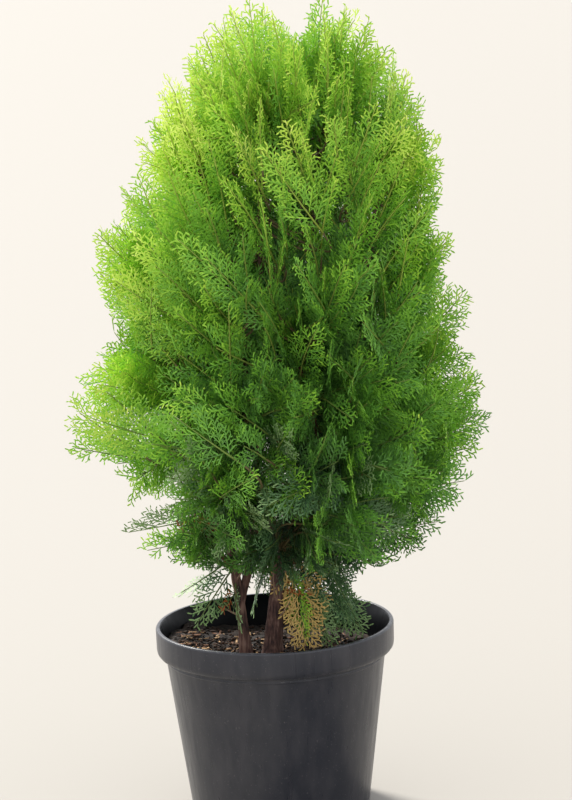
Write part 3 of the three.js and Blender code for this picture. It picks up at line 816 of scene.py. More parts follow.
def beads_of(mass):
    """The spheres near a mass of every limb, and of every twig but the mass's own."""
    limbs = stems + [other["bough"] for other in tier_masses]
    limbs += [other["twig"] for other in masses if other is not mass]
    centres, radii = (np.concatenate(parts) for parts in zip(*map(limb_beads, limbs)))
    near = np.linalg.norm(centres - mass["centre"], axis=1) < 2 * mass["spray"]
    return centres[near], radii[near]


def walls_of(mass):
    """The planes halfway between a mass's centre and the others', as normals and offsets."""
    others = np.array([other["centre"] for other in masses if other is not mass])
    normals = unit(others - mass["centre"])
    return normals, ((others + mass["centre"]) / 2 * normals).sum(axis=1)


def on_twig(mass, share):
    """A point on the straight pieces that a mass's twig is made of."""
    step = min(TWIG_STEPS - 1, math.floor(share * TWIG_STEPS))
    ends = mass["twig"]["way"](np.array([step, step + 1]) / TWIG_STEPS)
    return lerp(ends[0], ends[1], share * TWIG_STEPS - step)


def aimed_spray(mass, root, splay, turn, twist, length):
    """A spray at a place on a mass: splay and turn are taken from the mass's own direction."""
    along = (
        heading(mass["bearing"], mass["rise"]) * math.cos(splay)
        + heading(mass["bearing"], mass["rise"] + 90) * math.sin(splay) * math.cos(turn)
        + heading(mass["bearing"] - 90, 0) * math.sin(splay) * math.sin(turn)
    )
    level = np.cross((0, 0, 1), along)
    steep = np.linalg.norm(level) < STEEP
    facing = heading(mass["bearing"] if mass["bough"] else FRONT, 0) if steep else level
    square = unit(facing - along * (facing @ along))
    face = square * math.cos(twist) + np.cross(along, square) * math.sin(twist)
    return root, along, face, length


def try_sprays(mass, place, random):
    """The tries at a place on a mass's twig, largest size first, as arrays of their measures."""
    last = place == mass["places"]
    share = LAST_PLACE if last else lerp(*PLACES, place / mass["places"])
    root = on_twig(mass, share)
    tries = []
    for _ in range(TRIES):
        splay = math.radians(LAST_SPLAY * next(random) if last else lerp(*SPLAY, next(random)))
        if mass["bough"]:
            turn = (1 if place % 2 else -1) * lerp(*TURN, next(random))
        else:
            turn = GOLDEN_TURN * (place + TURN_JITTER * next(random))
        twist = math.radians(TWIST * (next(random) * 2 - 1))
        size = lerp(*SIDE_SIZE, 1 if last else next(random))
        tries.append(aimed_spray(mass, root, splay, math.radians(turn), twist, mass["spray"] * size))
    root, along, face, length = (np.array(values) for values in zip(*tries))
    sized = np.concatenate([length * shrink for shrink in SHRINK])
    repeat = (len(SHRINK), 1)
    return np.tile(root, repeat), np.tile(along, repeat), np.tile(face, repeat), sized


def spread(template, root, along, face, length):
    """A template's points on each of some sprays."""
    basis = np.stack([along, np.cross(face, along), face], axis=-2)
    return root[:, None] + length[:, None, None] * (template @ basis)


def off_pot(p):
    """True where a point is above the soil, and in the pot's mouth where it is below the rim."""
    above_soil = p[..., 2] > SOIL_TOP + soil_heap(p[..., 0]) + SOIL_CLEAR
    in_mouth = np.hypot(p[..., 0], p[..., 1]) < body_top_radius - RIM_CLEAR
    return (p[..., 2] > pot_height + SOIL_CLEAR) | (above_soil & in_mouth)


def in_crown(p, fringe):
    """True where a point is inside the crown's outline."""
    off = np.linalg.norm(p - crown_axis(p[..., 2]), axis=-1)
    return off < crown_radius(p[..., 2]) + fringe


def in_space(p, walls, spare):
    """True where a point is within a mass's walls, or past them by less than spare."""
    normals, offsets = walls
    return (p @ normals.T - offsets < spare).all(axis=-1)


def touching(root, along, face, length, beads):
    """True where a bead of a limb comes too near a spray's face, its root apart."""
    centres, radii = beads
    off = centres - root[:, None]
    near = radii + LIMB_CLEAR
    forward = np.einsum("nbk,nk->nb", off, along)
    outward = np.abs(np.einsum("nbk,nk->nb", off, face))
    sideways = np.abs(np.einsum("nbk,nk->nb", off, np.cross(face, along)))
    half = np.minimum(length[:, None] * SPRAY_WIDTH, forward)
    along_it = (forward > near) & (forward < length[:, None] + near)
    return (along_it & (outward < near) & (sideways < half + near)).any(axis=1)


def crossing(ribs, root, along, face, length):
    """True if one of some ribs passes through a spray's face."""
    start, end = ribs[:, 0], ribs[:, 1]
    fall = (end - start) @ face
    share = np.divide((root - start) @ face, fall, out=np.full(len(fall), -1.0), where=fall != 0)
    off = start + (end - start) * share[:, None] - root
    forward = off @ along / length
    sideways = off @ np.cross(face, along) / length
    inside = (forward > ROOT_FREE) & (forward < 1) & (np.abs(sideways) < SPRAY_WIDTH)
    return bool((inside & (share >= 0) & (share <= 1)).any())


def first_sprays(mass, index, walls, beads):
    """The sprays that the mass's solid has, found by the same rule from the same seed."""
    random = seeded(SEED + 100 + index)
    kept = []
    for place in range(mass["places"], -1, -1):
        tries = try_sprays(mass, place, random)
        points = spread(BLADE, *tries)
        fit = (tries[3] >= SHORTEST_SPRAY) & off_pot(points).all(axis=1)
        fit &= in_crown(points, CROWN_FRINGE).all(axis=1) & in_space(points, walls, -GAP).all(axis=1)
        fit[fit] = ~touching(*(values[fit] for values in tries), beads)
        ribs = spread(RIBS.reshape(-1, 3), *tries).reshape(len(fit), -1, 2, 3)
        for i in np.flatnonzero(fit):
            found = [values[i] for values in tries]
            if not any(crossing(ribs[i], *other) or crossing(own, *found) for own, other in kept):
                kept.append((ribs[i], found))
                break
    return [found for _, found in kept]


# More sprays than the solids have, so that the crown is as full as the real one: from the
# twigs, the boughs and the stems inside it, and from the midribs of the first sprays.
MORE_TRIES = 18
MORE_ON_TWIG = {"skirt": 7, "low": 12, "middle": 14, "upper": 14, "leader": 17}
MORE_ON_BOUGH = 4
TWIG_PLACES = (0.02, 0.97)
BOUGH_PLACES = (0.45, 1)
LIMB_SPLAY = (24, 80)
LIMB_LEAST = 0.62  # the shortest, as a share of the mass's own spray
LONGEST = {"skirt": 1.35, "low": 1.1, "middle": 1.1, "upper": 1.1, "leader": 1.1}
UPWARD = {"skirt": 0.1, "low": 0.4, "middle": 0.7, "upper": 0.9, "leader": 0.8}
REACHING = {"skirt": 0.9, "low": 0.6, "middle": 0.4, "upper": 0.5, "leader": 0.4}
REACH_CHOICE = 4  # of this share of the sprays, the furthest reaching of so many is picked
EDGE_TWIST = 0.35
RIB_PLACES = (0.18, 0.6)
RIB_SPLAY = (24, 55)
RIB_LENGTHS = (0.5, 0.75)
STEM_SPRAY_GAP = 0.007
STEM_SPRAY_EVEN = (0.7, 1.3)
STEM_SPRAY_TRIES = 6
STEM_SPRAY_FOOT = 0.27
STEM_SPRAY_OUT = 0.004
STEM_SPRAY_RISE = (42, 72)
STEM_SPRAY_LENGTH = (0.065, 0.1)
FREE_TWIST = 0.4
THIN_LEFT = {"from": -0.08, "below": 0.42, "share": 0.6}
LEAF_FRINGE = 0.007
LEAF_OVER = 0.028  # past the wall between two masses


def on_edge(root, along, length, twist):
    """A spray that stands on edge, but for its twist."""
    level = unit(np.cross((0, 0, 1), along))
    return root, along, level * math.cos(twist) + np.cross(along, level) * math.sin(twist), length


def reach_of(spray):
    """How far the tip of a spray stands out past the crown's outline."""
    tip = spray[0] + spray[1] * spray[3]
    return np.linalg.norm(tip - crown_axis(tip[2])) - crown_radius(tip[2])


def left_out(spray, rng):
    """True for some of the sprays at the crown's far left, where the sky shows between them."""
    tip = spray[0] + spray[1] * spray[3]
    far_left = tip[0] < THIN_LEFT["from"] and tip[2] < THIN_LEFT["below"]
    return far_left and rng.random() < THIN_LEFT["share"]


def on_limb_spray(mass, root, rng):
    """A spray from a point on a mass's twig or bough, turned any way round it but bent upwards."""
    splay = math.radians(rng.uniform(*LIMB_SPLAY))
    turn = rng.uniform(-math.pi, math.pi)
    length = mass["spray"] * rng.uniform(LIMB_LEAST, LONGEST[mass["tier"]])
    along = unit(aimed_spray(mass, root, splay, turn, 0, length)[1] + (0, 0, UPWARD[mass["tier"]]))
    return on_edge(root, along, length, rng.normal(0, EDGE_TWIST))


def on_rib_spray(parent, rng):
    """A spray from another's midrib, turned out of its plane."""
    root, along, face, length = parent
    lean = rng.choice((-1, 1)) * math.radians(rng.uniform(*RIB_SPLAY))
    slant = rng.normal(0, EDGE_TWIST)
    side = np.cross(face, along)
    aside = face * math.cos(slant) + side * math.sin(slant)
    out = unit(along * math.cos(lean) + aside * math.sin(lean))
    square = unit(side - out * (side @ out))
    start = root + along * length * rng.uniform(*RIB_PLACES)
    return start, out, np.cross(out, square), length * rng.uniform(*RIB_LENGTHS)


def spray_fits(spray, beads, walls=None):
    """True if a spray's outline keeps off the pot, the limbs and the sky round the crown."""
    single = [np.array([value]) for value in spray]
    points = spread(BLADE, *single)
    fit = off_pot(points).all() and in_crown(points, CROWN_FRINGE).all()
    if walls:
        fit = fit and in_space(points[:, :2], walls, LEAF_OVER).all()
    return bool(fit) and not touching(*single, beads)[0]


def new_spray(mass, kind, parent, rng):
    """A try at a further spray on a mass: on a midrib, or on its twig or bough."""
    if kind == "rib":
        return on_rib_spray(parent, rng)
    if kind == "twig":
        return on_limb_spray(mass, on_twig(mass, rng.uniform(*TWIG_PLACES)), rng)
    return on_limb_spray(mass, mass["bough"]["way"](rng.uniform(*BOUGH_PLACES)), rng)


def more_sprays(mass, first, walls, beads, rng):
    """Further sprays on a mass that keep to the crown's outline, and to about their own space."""
    wanted = [("twig", None)] * MORE_ON_TWIG[mass["tier"]] + [("rib", spray) for spray in first]
    wanted += [("bough", None)] * (MORE_ON_BOUGH if mass["bough"] else 0)
    made = []
    for kind, parent in wanted:
        found = []
        enough = REACH_CHOICE if kind == "twig" and rng.random() < REACHING[mass["tier"]] else 1
        for _ in range(MORE_TRIES):
            spray = new_spray(mass, kind, parent, rng)
            if spray_fits(spray, beads, walls):
                found.append(spray)
            if len(found) == enough:
                break
        furthest = max(found, key=reach_of, default=None)
        if found and not left_out(furthest, rng):
            made.append(furthest)
    return made


def stem_sprays(stem, turn, rng):
    """Sprays that rise from a stem all round it, from the crown's foot to the stem's tip."""
    made = []
    way = stem["way"]
    beads = [values[::3] for values in limb_beads(stem)]
    share = 0.0
    while share < 1:
        root = way(share)
        share += STEM_SPRAY_GAP * rng.uniform(*STEM_SPRAY_EVEN) / np.linalg.norm(way(1.0) - way(0.0))
        if root[2] < STEM_SPRAY_FOOT:
            continue
        for _ in range(STEM_SPRAY_TRIES):
            turn += GOLDEN_TURN
            out = heading(turn, rng.uniform(*STEM_SPRAY_RISE))
            length = rng.uniform(*STEM_SPRAY_LENGTH)
            spray = on_edge(root + out * STEM_SPRAY_OUT, out, length, rng.normal(0, FREE_TWIST))
            if spray_fits(spray, beads):
                made.append(spray)
                break
    return made


# Between the masses, further twigs carry the crown on to its outline: each grows from the
# nearest limb below it and bears one spray. Slopes are given by height.
OUTER_SPRAYS = 430
OUTER_HEIGHTS = (0.195, 0.64)
OUTER_SLOPES = ((0.195, 0.27, 0.36, 0.50, 0.64), (-24, 6, 34, 56, 78))
OUTER_JITTER = (22, 9)  # of the bearing and of the slope
OUTER_REACH = (0.88, 1.03)
OUTER_LENGTH = (0.055, 0.095)
ABOVE = 0.004  # the most that a twig starts above its end
SIDE_TWIG_RADII = (0.0011, 0.0008)


def outer_sprays(rng):
    """Sprays whose tips lie all over the crown's outline, and their twigs, by the nearest mass."""
    limbs = stems + [mass["bough"] for mass in tier_masses] + [mass["twig"] for mass in masses]
    limb_points = np.concatenate([limb_beads(limb)[0] for limb in limbs])
    centres = np.array([mass["centre"] for mass in masses])
    made = {mass["name"]: ([], []) for mass in masses}
    for i in range(OUTER_SPRAYS):
        z = lerp(*OUTER_HEIGHTS, (i + rng.random()) / OUTER_SPRAYS)
        bearing = GOLDEN_TURN * i
        tip = crown_axis(z) + heading(bearing, 0) * crown_radius(z) * rng.uniform(*OUTER_REACH)
        bearing += rng.normal(0, OUTER_JITTER[0])
        out = heading(bearing, np.interp(z, *OUTER_SLOPES) + rng.normal(0, OUTER_JITTER[1]))
        length = rng.uniform(*OUTER_LENGTH)
        root = tip - out * length
        too_high = limb_points[:, 2] > root[2] + ABOVE
        away = np.linalg.norm(limb_points - root, axis=1) + too_high  # which puts those a metre off
        start = limb_points[away.argmin()]
        way = bent_way(start, root - out * away.min() / 2, root)
        sprays, twigs = made[masses[np.linalg.norm(centres - tip, axis=1).argmin()]["name"]]
        spray = on_edge(root, out, length, rng.normal(0, FREE_TWIST))
        if not left_out(spray, rng):
            sprays.append(spray)
            twigs.append({"way": way, "radius": even_taper(*SIDE_TWIG_RADII)})
    return made


# A fan's shoots by their order: how far apart they stand, where the first one is, their
# angle at the parent's foot and tip, and how wide their scale leaves make them.
SHOOTS = (
    {"gap": 0.0040, "first": 0.05, "angles": (48, 32), "width": 0.0012},
    {"gap": 0.0021, "first": 0.08, "angles": (44, 36), "width": 0.0012},
    {"gap": 0.0022, "first": 0.25, "angles": (40, 34), "width": 0.0012},
)
SIDE_LENGTH = 0.36
SIDE_SHAPE = (0.3, 0.95)
STEEP_NARROW = 0.4  # how much narrower an upright spray is than a level one
TWIGLET_SHARE = 0.22
TWIGLET_LEAST = 0.004
TWIGLET_MOST = 0.0085
TWIGLET_TAPER = 0.8
SPLIT_OVER = 0.0058
LAST_SHOOT = (0.0026, 0.0042)
PLACE_JITTER = (0.36, 0.64)
ANGLE_JITTER = 3
LENGTH_JITTER = (0.84, 1.12)
SHOOT_BOW = (0.1, 0.3)
TILT_KEPT = 0.7
TILT_JITTER = 0.09
FAN_BOW = 0.16
FAN_ARCH = 0.14
FAN_CUP = 0.22


def side_shoots(parents, order, rng):
    """The shoots that some parent shoots bear, in turn to either side."""
    rule = SHOOTS[order]
    counts = np.maximum(0, parents["length"] * (1 - rule["first"]) / rule["gap"]).astype(int)
    who = np.repeat(np.arange(len(counts)), counts)
    nth = np.arange(counts.sum()) - np.repeat(np.cumsum(counts) - counts, counts)
    share = (nth + rng.uniform(*PLACE_JITTER, len(who))) / counts[who]
    share = lerp(rule["first"], 1, share)
    side = np.where((nth + parents["odd"][who]) % 2, 1, -1)
    parent = {key: value[who] for key, value in parents.items()}
    base = parent["length"] * share
    middle = parent["turn"] + parent["bow"] * (share / 2 - 0.5)
    angle = np.radians(lerp(*rule["angles"], share) + rng.normal(0, ANGLE_JITTER, len(who)))
    if order == 0:
        shape = np.sin(np.pi * lerp(*SIDE_SHAPE, share))
        length = parent["length"] * parent["broad"] * SIDE_LENGTH * shape
    elif order == 1:
        length = TWIGLET_LEAST + parent["length"] * TWIGLET_SHARE * (1 - share) ** TWIGLET_TAPER
        length = np.minimum(length, TWIGLET_MOST)
    else:
        length = rng.uniform(*LAST_SHOOT, len(who))
    return {
        "spray": parent["spray"],
        "parent": who,
        "forward": parent["forward"] + base * np.cos(middle),
        "sideways": parent["sideways"] + base * np.sin(middle),
        "out": parent["out"] + base * parent["tilt"],
        "turn": parent["turn"] + parent["bow"] * (share - 0.5) + side * angle,
        "bow": -side * rng.uniform(*SHOOT_BOW, len(who)) if order == 0 else np.zeros(len(who)),
        "tilt": parent["tilt"] * TILT_KEPT + rng.normal(0, TILT_JITTER, len(who)),
        "length": length * rng.uniform(*LENGTH_JITTER, len(who)),
        "odd": rng.integers(0, 2, len(who)),
    }


def fans_of(sprays, rng):
    """Some sprays as arrays, each with how it bows in its plane and arches and cups out of it."""
    root, along, face, length = (np.array(values) for values in zip(*sprays))
    count = len(sprays)
    return {
        "root": root,
        "along": along,
        "side": np.cross(face, along),
        "face": face,
        "length": length,
        "broad": 1 - STEEP_NARROW * np.clip(along[:, 2], 0, 1) ** 3,
        "bow": rng.normal(0, FAN_BOW, count),
        "arch": rng.normal(0, FAN_ARCH, count),
        "cup": rng.normal(0, FAN_CUP, count),
    }


def on_fan(fans, who, forward, sideways, lift):
    """The places in space of points on some fans, from their flat measures."""
    size = fans["length"][who]
    lift = lift + (fans["cup"][who] * sideways**2 + fans["arch"][who] * forward**2) / size
    measures = ((forward, "along"), (sideways, "side"), (lift, "face"))
    return fans["root"][who] + sum(measure[:, None] * fans[axis][who] for measure, axis in measures)


def fan_shoots(fans, rng):
    """All shoots of some fans in their own flat measures, order by order."""
    count = len(fans["length"])
    level = {key: np.zeros(count) for key in ("forward", "sideways", "out", "turn", "tilt")}
    level.update(spray=np.arange(count), parent=np.arange(count), odd=rng.integers(0, 2, count))
    level.update(bow=fans["bow"], length=fans["length"], broad=fans["broad"])
    levels = []
    for order in range(len(SHOOTS)):
        if order == 2:  # only the longer twiglets bear scales of their own
            level = dict(level, length=np.where(level["length"] > SPLIT_OVER, level["length"], 0))
        level = side_shoots(level, order, rng)
        levels.append(level)
    return levels


def shoot_ends(fans, level):
    """The feet and tips of one order of shoots."""
    ends = []
    for at in (0, 1):
        reach = at * level["length"]
        forward = level["forward"] + reach * np.cos(level["turn"])
        sideways = level["sideways"] + reach * np.sin(level["turn"])
        lift = level["out"] + reach * level["tilt"]
        ends.append(on_fan(fans, level["spray"], forward, sideways, lift))
    return ends


# A shoot is a narrow blunt blade, folded along its middle, and the last ones are simple
# scales: where the corners lie, in shares of the length and of half the width.
BLADE_OUTLINE = np.array([(0, 0), (0.2, -0.8), (0.74, -1), (1, 0), (0.74, 1), (0.2, 0.8)])
BLADE_FACES = np.array([(0, 1, 2), (0, 2, 3), (0, 3, 4), (0, 4, 5)])
SCALE_OUTLINE = np.array([(0, 0), (0.62, -1), (1, 0), (0.62, 1)])
SCALE_FACES = np.array([(0, 1, 2), (0, 2, 3)])
SHOOT_FOLD = 0.5


def shoot_corners(outline, foot, tip, face, width):
    """The corners of each shoot's blade."""
    along = tip - foot
    across = unit(np.cross(face, along))
    normal = unit(np.cross(along, across))
    half = width[:, None, None] / 2
    forward, sideways = outline[:, :1], outline[:, 1:]
    spine = foot[:, None] + along[:, None] * forward
    return spine + half * (across[:, None] * sideways - normal[:, None] * np.abs(sideways) * SHOOT_FOLD)


# Where the leaves' outline departs from the egg: bearing, height, half its tallness, depth.
NOTCHES = (
    (180, 0.188, 0.022, 0.036),
    (180, 0.272, 0.016, 0.040),
    (180, 0.386, 0.022, 0.034),
    (180, 0.590, 0.060, -0.012),
    (0, 0.182, 0.013, 0.020),
    (0, 0.228, 0.022, -0.010),
    (0, 0.372, 0.013, 0.020),
    (270, 0.190, 0.020, 0.040),
    (270, 0.340, 0.140, 0.018),
    (90, 0.340, 0.140, 0.008),
)


def in_leaf_outline(p):
    """True where a point is inside the outline that the leaves keep to."""
    off = p - crown_axis(p[..., 2])
    turn = np.arctan2(off[..., 1], off[..., 0])
    fringe = LEAF_FRINGE
    for bearing, height, tall, depth in NOTCHES:
        towards = np.clip(1.5 * np.cos(turn - math.radians(bearing)), 0, 1)
        fringe = fringe - depth * towards * np.exp(-(((p[..., 2] - height) / tall) ** 2))
    return in_crown(p, fringe)


# The leaves are matt and a little waxy: fresh yellow-green at the tips, and deep green inside the crown,
# which is painted shade.
# Old shaded sprays are greyer, with darker, bluer greens that are painted shade, and dead ones straw or
# rust. Each list runs from deep to pale.
GREENS = ("#2b4a21", "#3a612a", "#4a7730", "#5c9133", "#75ac34", "#96c73d", "#bbdc50", "#dcee74")
MUTED = ("#27422a", "#3a5c34", "#537646", "#82a066")
DEAD = ("#c8a860", "#a95f33")  # straw and rust
FIRST_MUTED, FIRST_DEAD = len(GREENS), len(GREENS) + len(MUTED)
KINDS = ("green", "muted", "straw", "rust")
LEAF_COLOURS = GREENS + MUTED + DEAD
scale_leaves = [plain_material(f"scale leaves {i + 1}", c, 0.5) for i, c in enumerate(LEAF_COLOURS)]
TONE_HEIGHTS = (0.18, 0.62)
# Painted light: tones rise with height, lightest at the crown's top, where the lamp falls most.
PAINTED_LIGHT_BY_HEIGHT = (1.4, 4.8)
TONE_MIDDLE = 0.7  # where on its length a spray's place is taken
# Painted shade: sprays deeper towards the crown's middle, and lighter outside.
PAINTED_LIGHT_OUTSIDE = 2.0
# Painted light: the crown's edges lighter, as if lit through from behind, and the left lighter still,
# towards the lamp.
PAINTED_LIGHT_SIDES = (2.1, 1.05)  # lighter to either side, and lightest on the left
SHADE = {"tone": 0.8, "height": 0.42, "tall": 0.1}  # in the middle of the crown
TONE_JITTER = 0.5
MUTED_BELOW = 0.36
MUTED_DEPTH = 0.12
MUTED_SHARE = 0.85
MUTED_INWARD = 2.4
TIP_LIGHTER = 2.2
TIP_SIDEWAYS = 0.6
SHOOT_TONE_JITTER = 0.35
# Muted shoots are dealt greens this much deeper than their spray's tone: painted shade.
MUTED_DEEPER = 0.6
LEAN = 0.2  # how unevenly the shoots face, as the tangent of an angle
WIDTH_JITTER = (0.85, 1.15)


def spray_tones(fans, rng):
    """How light each spray is, as painted light and shade: lightest high up, outside and on the left
    towards the lamp, deepest inside and low down.
    """
    middle = fans["root"] + fans["along"] * fans["length"][:, None] * TONE_MIDDLE
    axis = crown_axis(middle[:, 2])
    foot, top = TONE_HEIGHTS
    high = np.clip((middle[:, 2] - foot) / (top - foot), 0, 1)
    outside = np.linalg.norm(middle - axis, axis=1) / (crown_radius(middle[:, 2]) + 0.01)
    left = (axis - middle)[:, 0] / CROWN_RADIUS
    lit = PAINTED_LIGHT_OUTSIDE * (outside - 0.5) + PAINTED_LIGHT_SIDES[0] * left**2 + PAINTED_LIGHT_SIDES[1] * left
    shaded = np.exp(-(((middle[:, 2] - SHADE["height"]) / SHADE["tall"]) ** 2)) * (1 - left**2)
    tone = lerp(*PAINTED_LIGHT_BY_HEIGHT, high) + lit - SHADE["tone"] * shaded
    return tone + rng.normal(0, TONE_JITTER, len(high))


def spray_kinds(fans, rng):
    """Which sprays are green, and which of the low inner ones are muted: greyer, as old shaded ones are,
    and darker and bluer, as painted shade.
    """
    middle = fans["root"] + fans["along"] * fans["length"][:, None] * TONE_MIDDLE
    low = np.clip((MUTED_BELOW - middle[:, 2]) / MUTED_DEPTH, 0, 1)
    side = np.abs(middle - crown_axis(middle[:, 2]))[:, 0] / CROWN_RADIUS
    inward = np.clip(1 - side, 0, 1) ** MUTED_INWARD
    return (rng.random(len(low)) < MUTED_SHARE * low * inward).astype(int)


def inside_rib(fans, level, foot):
    """True for the side shoots that stand before the place where their midrib leaves the outline."""
    past = ~in_leaf_outline(foot)
    rib_end = np.ones(len(fans["length"]))
    np.minimum.at(rib_end, level["spray"][past], level["forward"][past])
    return level["forward"] < rib_end[level["spray"]]


def standing_shoots(level, foot, tip, walls, inside):
    """True for the shoots that keep off the pot and to the crown's outline and their space."""
    stands = off_pot(foot) & off_pot(tip)
    if inside:
        stands &= in_leaf_outline(foot) & in_leaf_outline(tip)
    if walls:
        stands &= in_space(foot, walls, LEAF_OVER) & in_space(tip, walls, LEAF_OVER)
    return stands


def shoot_tones(fans, level, keep, tones, kinds, rng):
    """The material that each shoot is dealt: lighter to the tips, in the greens of its kind."""
    owner = level["spray"][keep]
    outward = (level["forward"] + np.abs(level["sideways"]) * TIP_SIDEWAYS)[keep]
    outward = np.clip(outward / fans["length"][owner], 0, 1) - 0.5
    tone = tones[owner] + TIP_LIGHTER * outward + rng.normal(0, SHOOT_TONE_JITTER, len(owner))
    green = np.clip(np.round(tone), 0, len(GREENS) - 1)
    grey = FIRST_MUTED + np.clip(np.round(tone - MUTED_DEEPER), 0, len(MUTED) - 1)
    return np.choose(kinds[owner], (green, grey, FIRST_DEAD, FIRST_DEAD + 1))


def leaf_mesh(fans, kinds, rng, walls=None, inside=True):
    """The shoots of some fans as corners, faces and their tones, cut off where their space ends."""
    tones = spray_tones(fans, rng)
    standing = np.ones(len(tones), bool)
    points, faces, dealt = [], [], []
    for order, level in enumerate(fan_shoots(fans, rng)):
        foot, tip = shoot_ends(fans, level)
        keep = standing[level["parent"]] & standing_shoots(level, foot, tip, walls, inside)
        if order == 0 and inside:
            keep &= inside_rib(fans, level, foot)
        standing = keep
        owner = level["spray"][keep]
        if order == 0:
            fans["reach"] = np.zeros(len(tones))
            np.maximum.at(fans["reach"], owner, level["forward"][keep] / fans["length"][owner])
        lean = rng.normal(0, LEAN, (len(owner), 2))
        face = fans["face"][owner] + fans["along"][owner] * lean[:, :1]
        face = face + fans["side"][owner] * lean[:, 1:]
        width = SHOOTS[order]["width"] * rng.uniform(*WIDTH_JITTER, len(owner))
        outline, shape = (SCALE_OUTLINE, SCALE_FACES) if order == 2 else (BLADE_OUTLINE, BLADE_FACES)
        corners = shoot_corners(outline, foot[keep], tip[keep], face, width)
        first_corner = sum(map(len, points)) + len(outline) * np.arange(len(corners))
        faces.append((first_corner[:, None, None] + shape).reshape(-1, 3))
        points.append(corners.reshape(-1, 3))
        dealt.append(np.repeat(shoot_tones(fans, level, keep, tones, kinds, rng), len(shape)))
    return np.concatenate(points), np.concatenate(faces), np.concatenate(dealt)


# The crown's foot: small sprays that hang from the stems into the pot's mouth, and the few
# dead ones among them. Each has its stem, its height on it, bearing, slope, length and kind.
FOOT_SPRAYS = [
    ("stem_left", 0.200, 215, -50, 0.052, "muted"),
    ("stem_left", 0.192, 262, -62, 0.040, "muted"),
    ("stem_left", 0.207, 160, -38, 0.056, "muted"),
    ("trunk", 0.214, 298, -70, 0.084, "straw"),
    ("trunk", 0.204, 322, -66, 0.066, "green"),
    ("trunk", 0.212, 338, -48, 0.088, "muted"),
    ("trunk", 0.200, 325, -58, 0.074, "muted"),
    ("stem_right", 0.222, 336, -42, 0.080, "muted"),
    ("stem_right", 0.215, 350, -50, 0.072, "muted"),
    ("stem_back", 0.205, 100, -46, 0.062, "muted"),
    ("stem_back", 0.215, 60, -40, 0.072, "muted"),
    ("stem_back", 0.200, 140, -52, 0.056, "muted"),
    ("stem_left", 0.180, 232, -28, 0.022, "rust"),
    ("stem_left", 0.232, 192, 6, 0.036, "rust"),
    ("trunk", 0.182, 328, -14, 0.026, "rust"),
    ("stem_back", 0.190, 76, -20, 0.026, "rust"),
]
FOOT_OUT = 0.003  # where they start, off the stem's middle line
FOOT_TWIST = 0.5
FOOT_SEED = 77


def on_stem(name, height):
    """The point on the way of the stem of that name at a height."""
    return stem_at(next(stem for stem in stems if stem["name"] == name), height)


def foot_sprays(rng):
    """The sprays at the crown's foot, most of them on edge like the rest."""
    made = []
    for name, height, bearing, slope, length, _ in FOOT_SPRAYS:
        out = heading(bearing, slope)
        root = on_stem(name, height) + out * FOOT_OUT
        made.append(on_edge(root, out, length, rng.normal(0, FOOT_TWIST)))
    return made


def leaf_piece(name, meshes, *nodes):
    """One piece of some fans' shoots, in place of some masses' solids."""
    firsts = np.cumsum([0] + [len(points) for points, _, _ in meshes])
    faces = np.concatenate([faces + first for (_, faces, _), first in zip(meshes, firsts)])
    points = np.concatenate([points for points, _, _ in meshes])
    dealt = np.concatenate([dealt for _, _, dealt in meshes])
    settle(joined(name, points, faces, dealt, scale_leaves), "foliage", *nodes)


rng = np.random.default_rng(SEED)
grown = []
for index, mass in enumerate(masses):
    walls, beads = walls_of(mass), beads_of(mass)
    first = first_sprays(mass, index, walls, beads)
    grown.append((mass, walls, first + more_sprays(mass, first, walls, beads, rng)))
leaders = masses[len(tier_masses) :]
STEM_TURN = 70  # the bearing of each stem's first spray beyond that of the stem before
inner = {mass["name"]: stem_sprays(mass["before"], STEM_TURN * i, rng) for i, mass in enumerate(leaders)}
outer = outer_sprays(rng)

fan_groups = []
for mass, walls, sprays in grown:
    fans = fans_of(sprays, rng)
    groups = [fans]
    parts = [leaf_mesh(fans, spray_kinds(fans, rng), rng, walls)]
    free = inner.get(mass["name"], []) + outer[mass["name"]][0]
    if free:
        others = fans_of(free, rng)
        groups.append(others)
        parts.append(leaf_mesh(others, spray_kinds(others, rng), rng))
    leaf_piece(f"sprays_{mass['name']}", parts, f"foliage_{mass['name']}")
    fan_groups.append((mass["tier"], groups))
skirt_nodes = [f"foliage_{mass['name']}" for mass in tier_masses if mass["tier"] == "skirt"]
foot_rng = np.random.default_rng(FOOT_SEED)
foot_fans = fans_of(foot_sprays(foot_rng), foot_rng)
foot_kinds = np.array([KINDS.index(kind) for *_, kind in FOOT_SPRAYS])
leaf_piece("sprays_foot", [leaf_mesh(foot_fans, foot_kinds, foot_rng, inside=False)], *skirt_nodes)
fan_groups.append(("skirt", [foot_fans]))

# ---- Twigs ------------------------------------------------------------------------------
# The twig of each mass and the midrib of each fan: slender, red-brown at the foot and
# greening towards the tip, where the scale leaves still clasp it.

RIB_RADII = (0.0008, 0.0003)
LEAST_RIB = 0.15


def midrib(fans, who):
    """One fan's midrib as a limb, bowed and arched as the fan is."""

    def way(share):
        reach = np.asarray(share, float) * fans["reach"][who]
        angle = fans["bow"][who] * (reach / 2 - 0.5)
        forward = fans["length"][who] * reach * np.cos(angle)
        sideways = fans["length"][who] * reach * np.sin(angle)
        return on_fan(fans, np.full(len(reach), who), forward, sideways, 0 * reach)

    return {"way": way, "radius": even_taper(*RIB_RADII)}


rib_colours = dict(zip(MORE_ON_TWIG, ("#566632", "#607536", "#6e8438", "#80923c", "#94a642")))
green_bark = plain_material("greening twig bark", "#5f5634", 0.75)


def twig_piece(name, limbs, bark, nodes, **wrapping):
    """One piece of some slender limbs of a tier."""
    piece = wrapped_piece(name, limbs, **wrapping)
    piece.data.materials.append(bark)
    settle(piece, "foliage", *nodes)


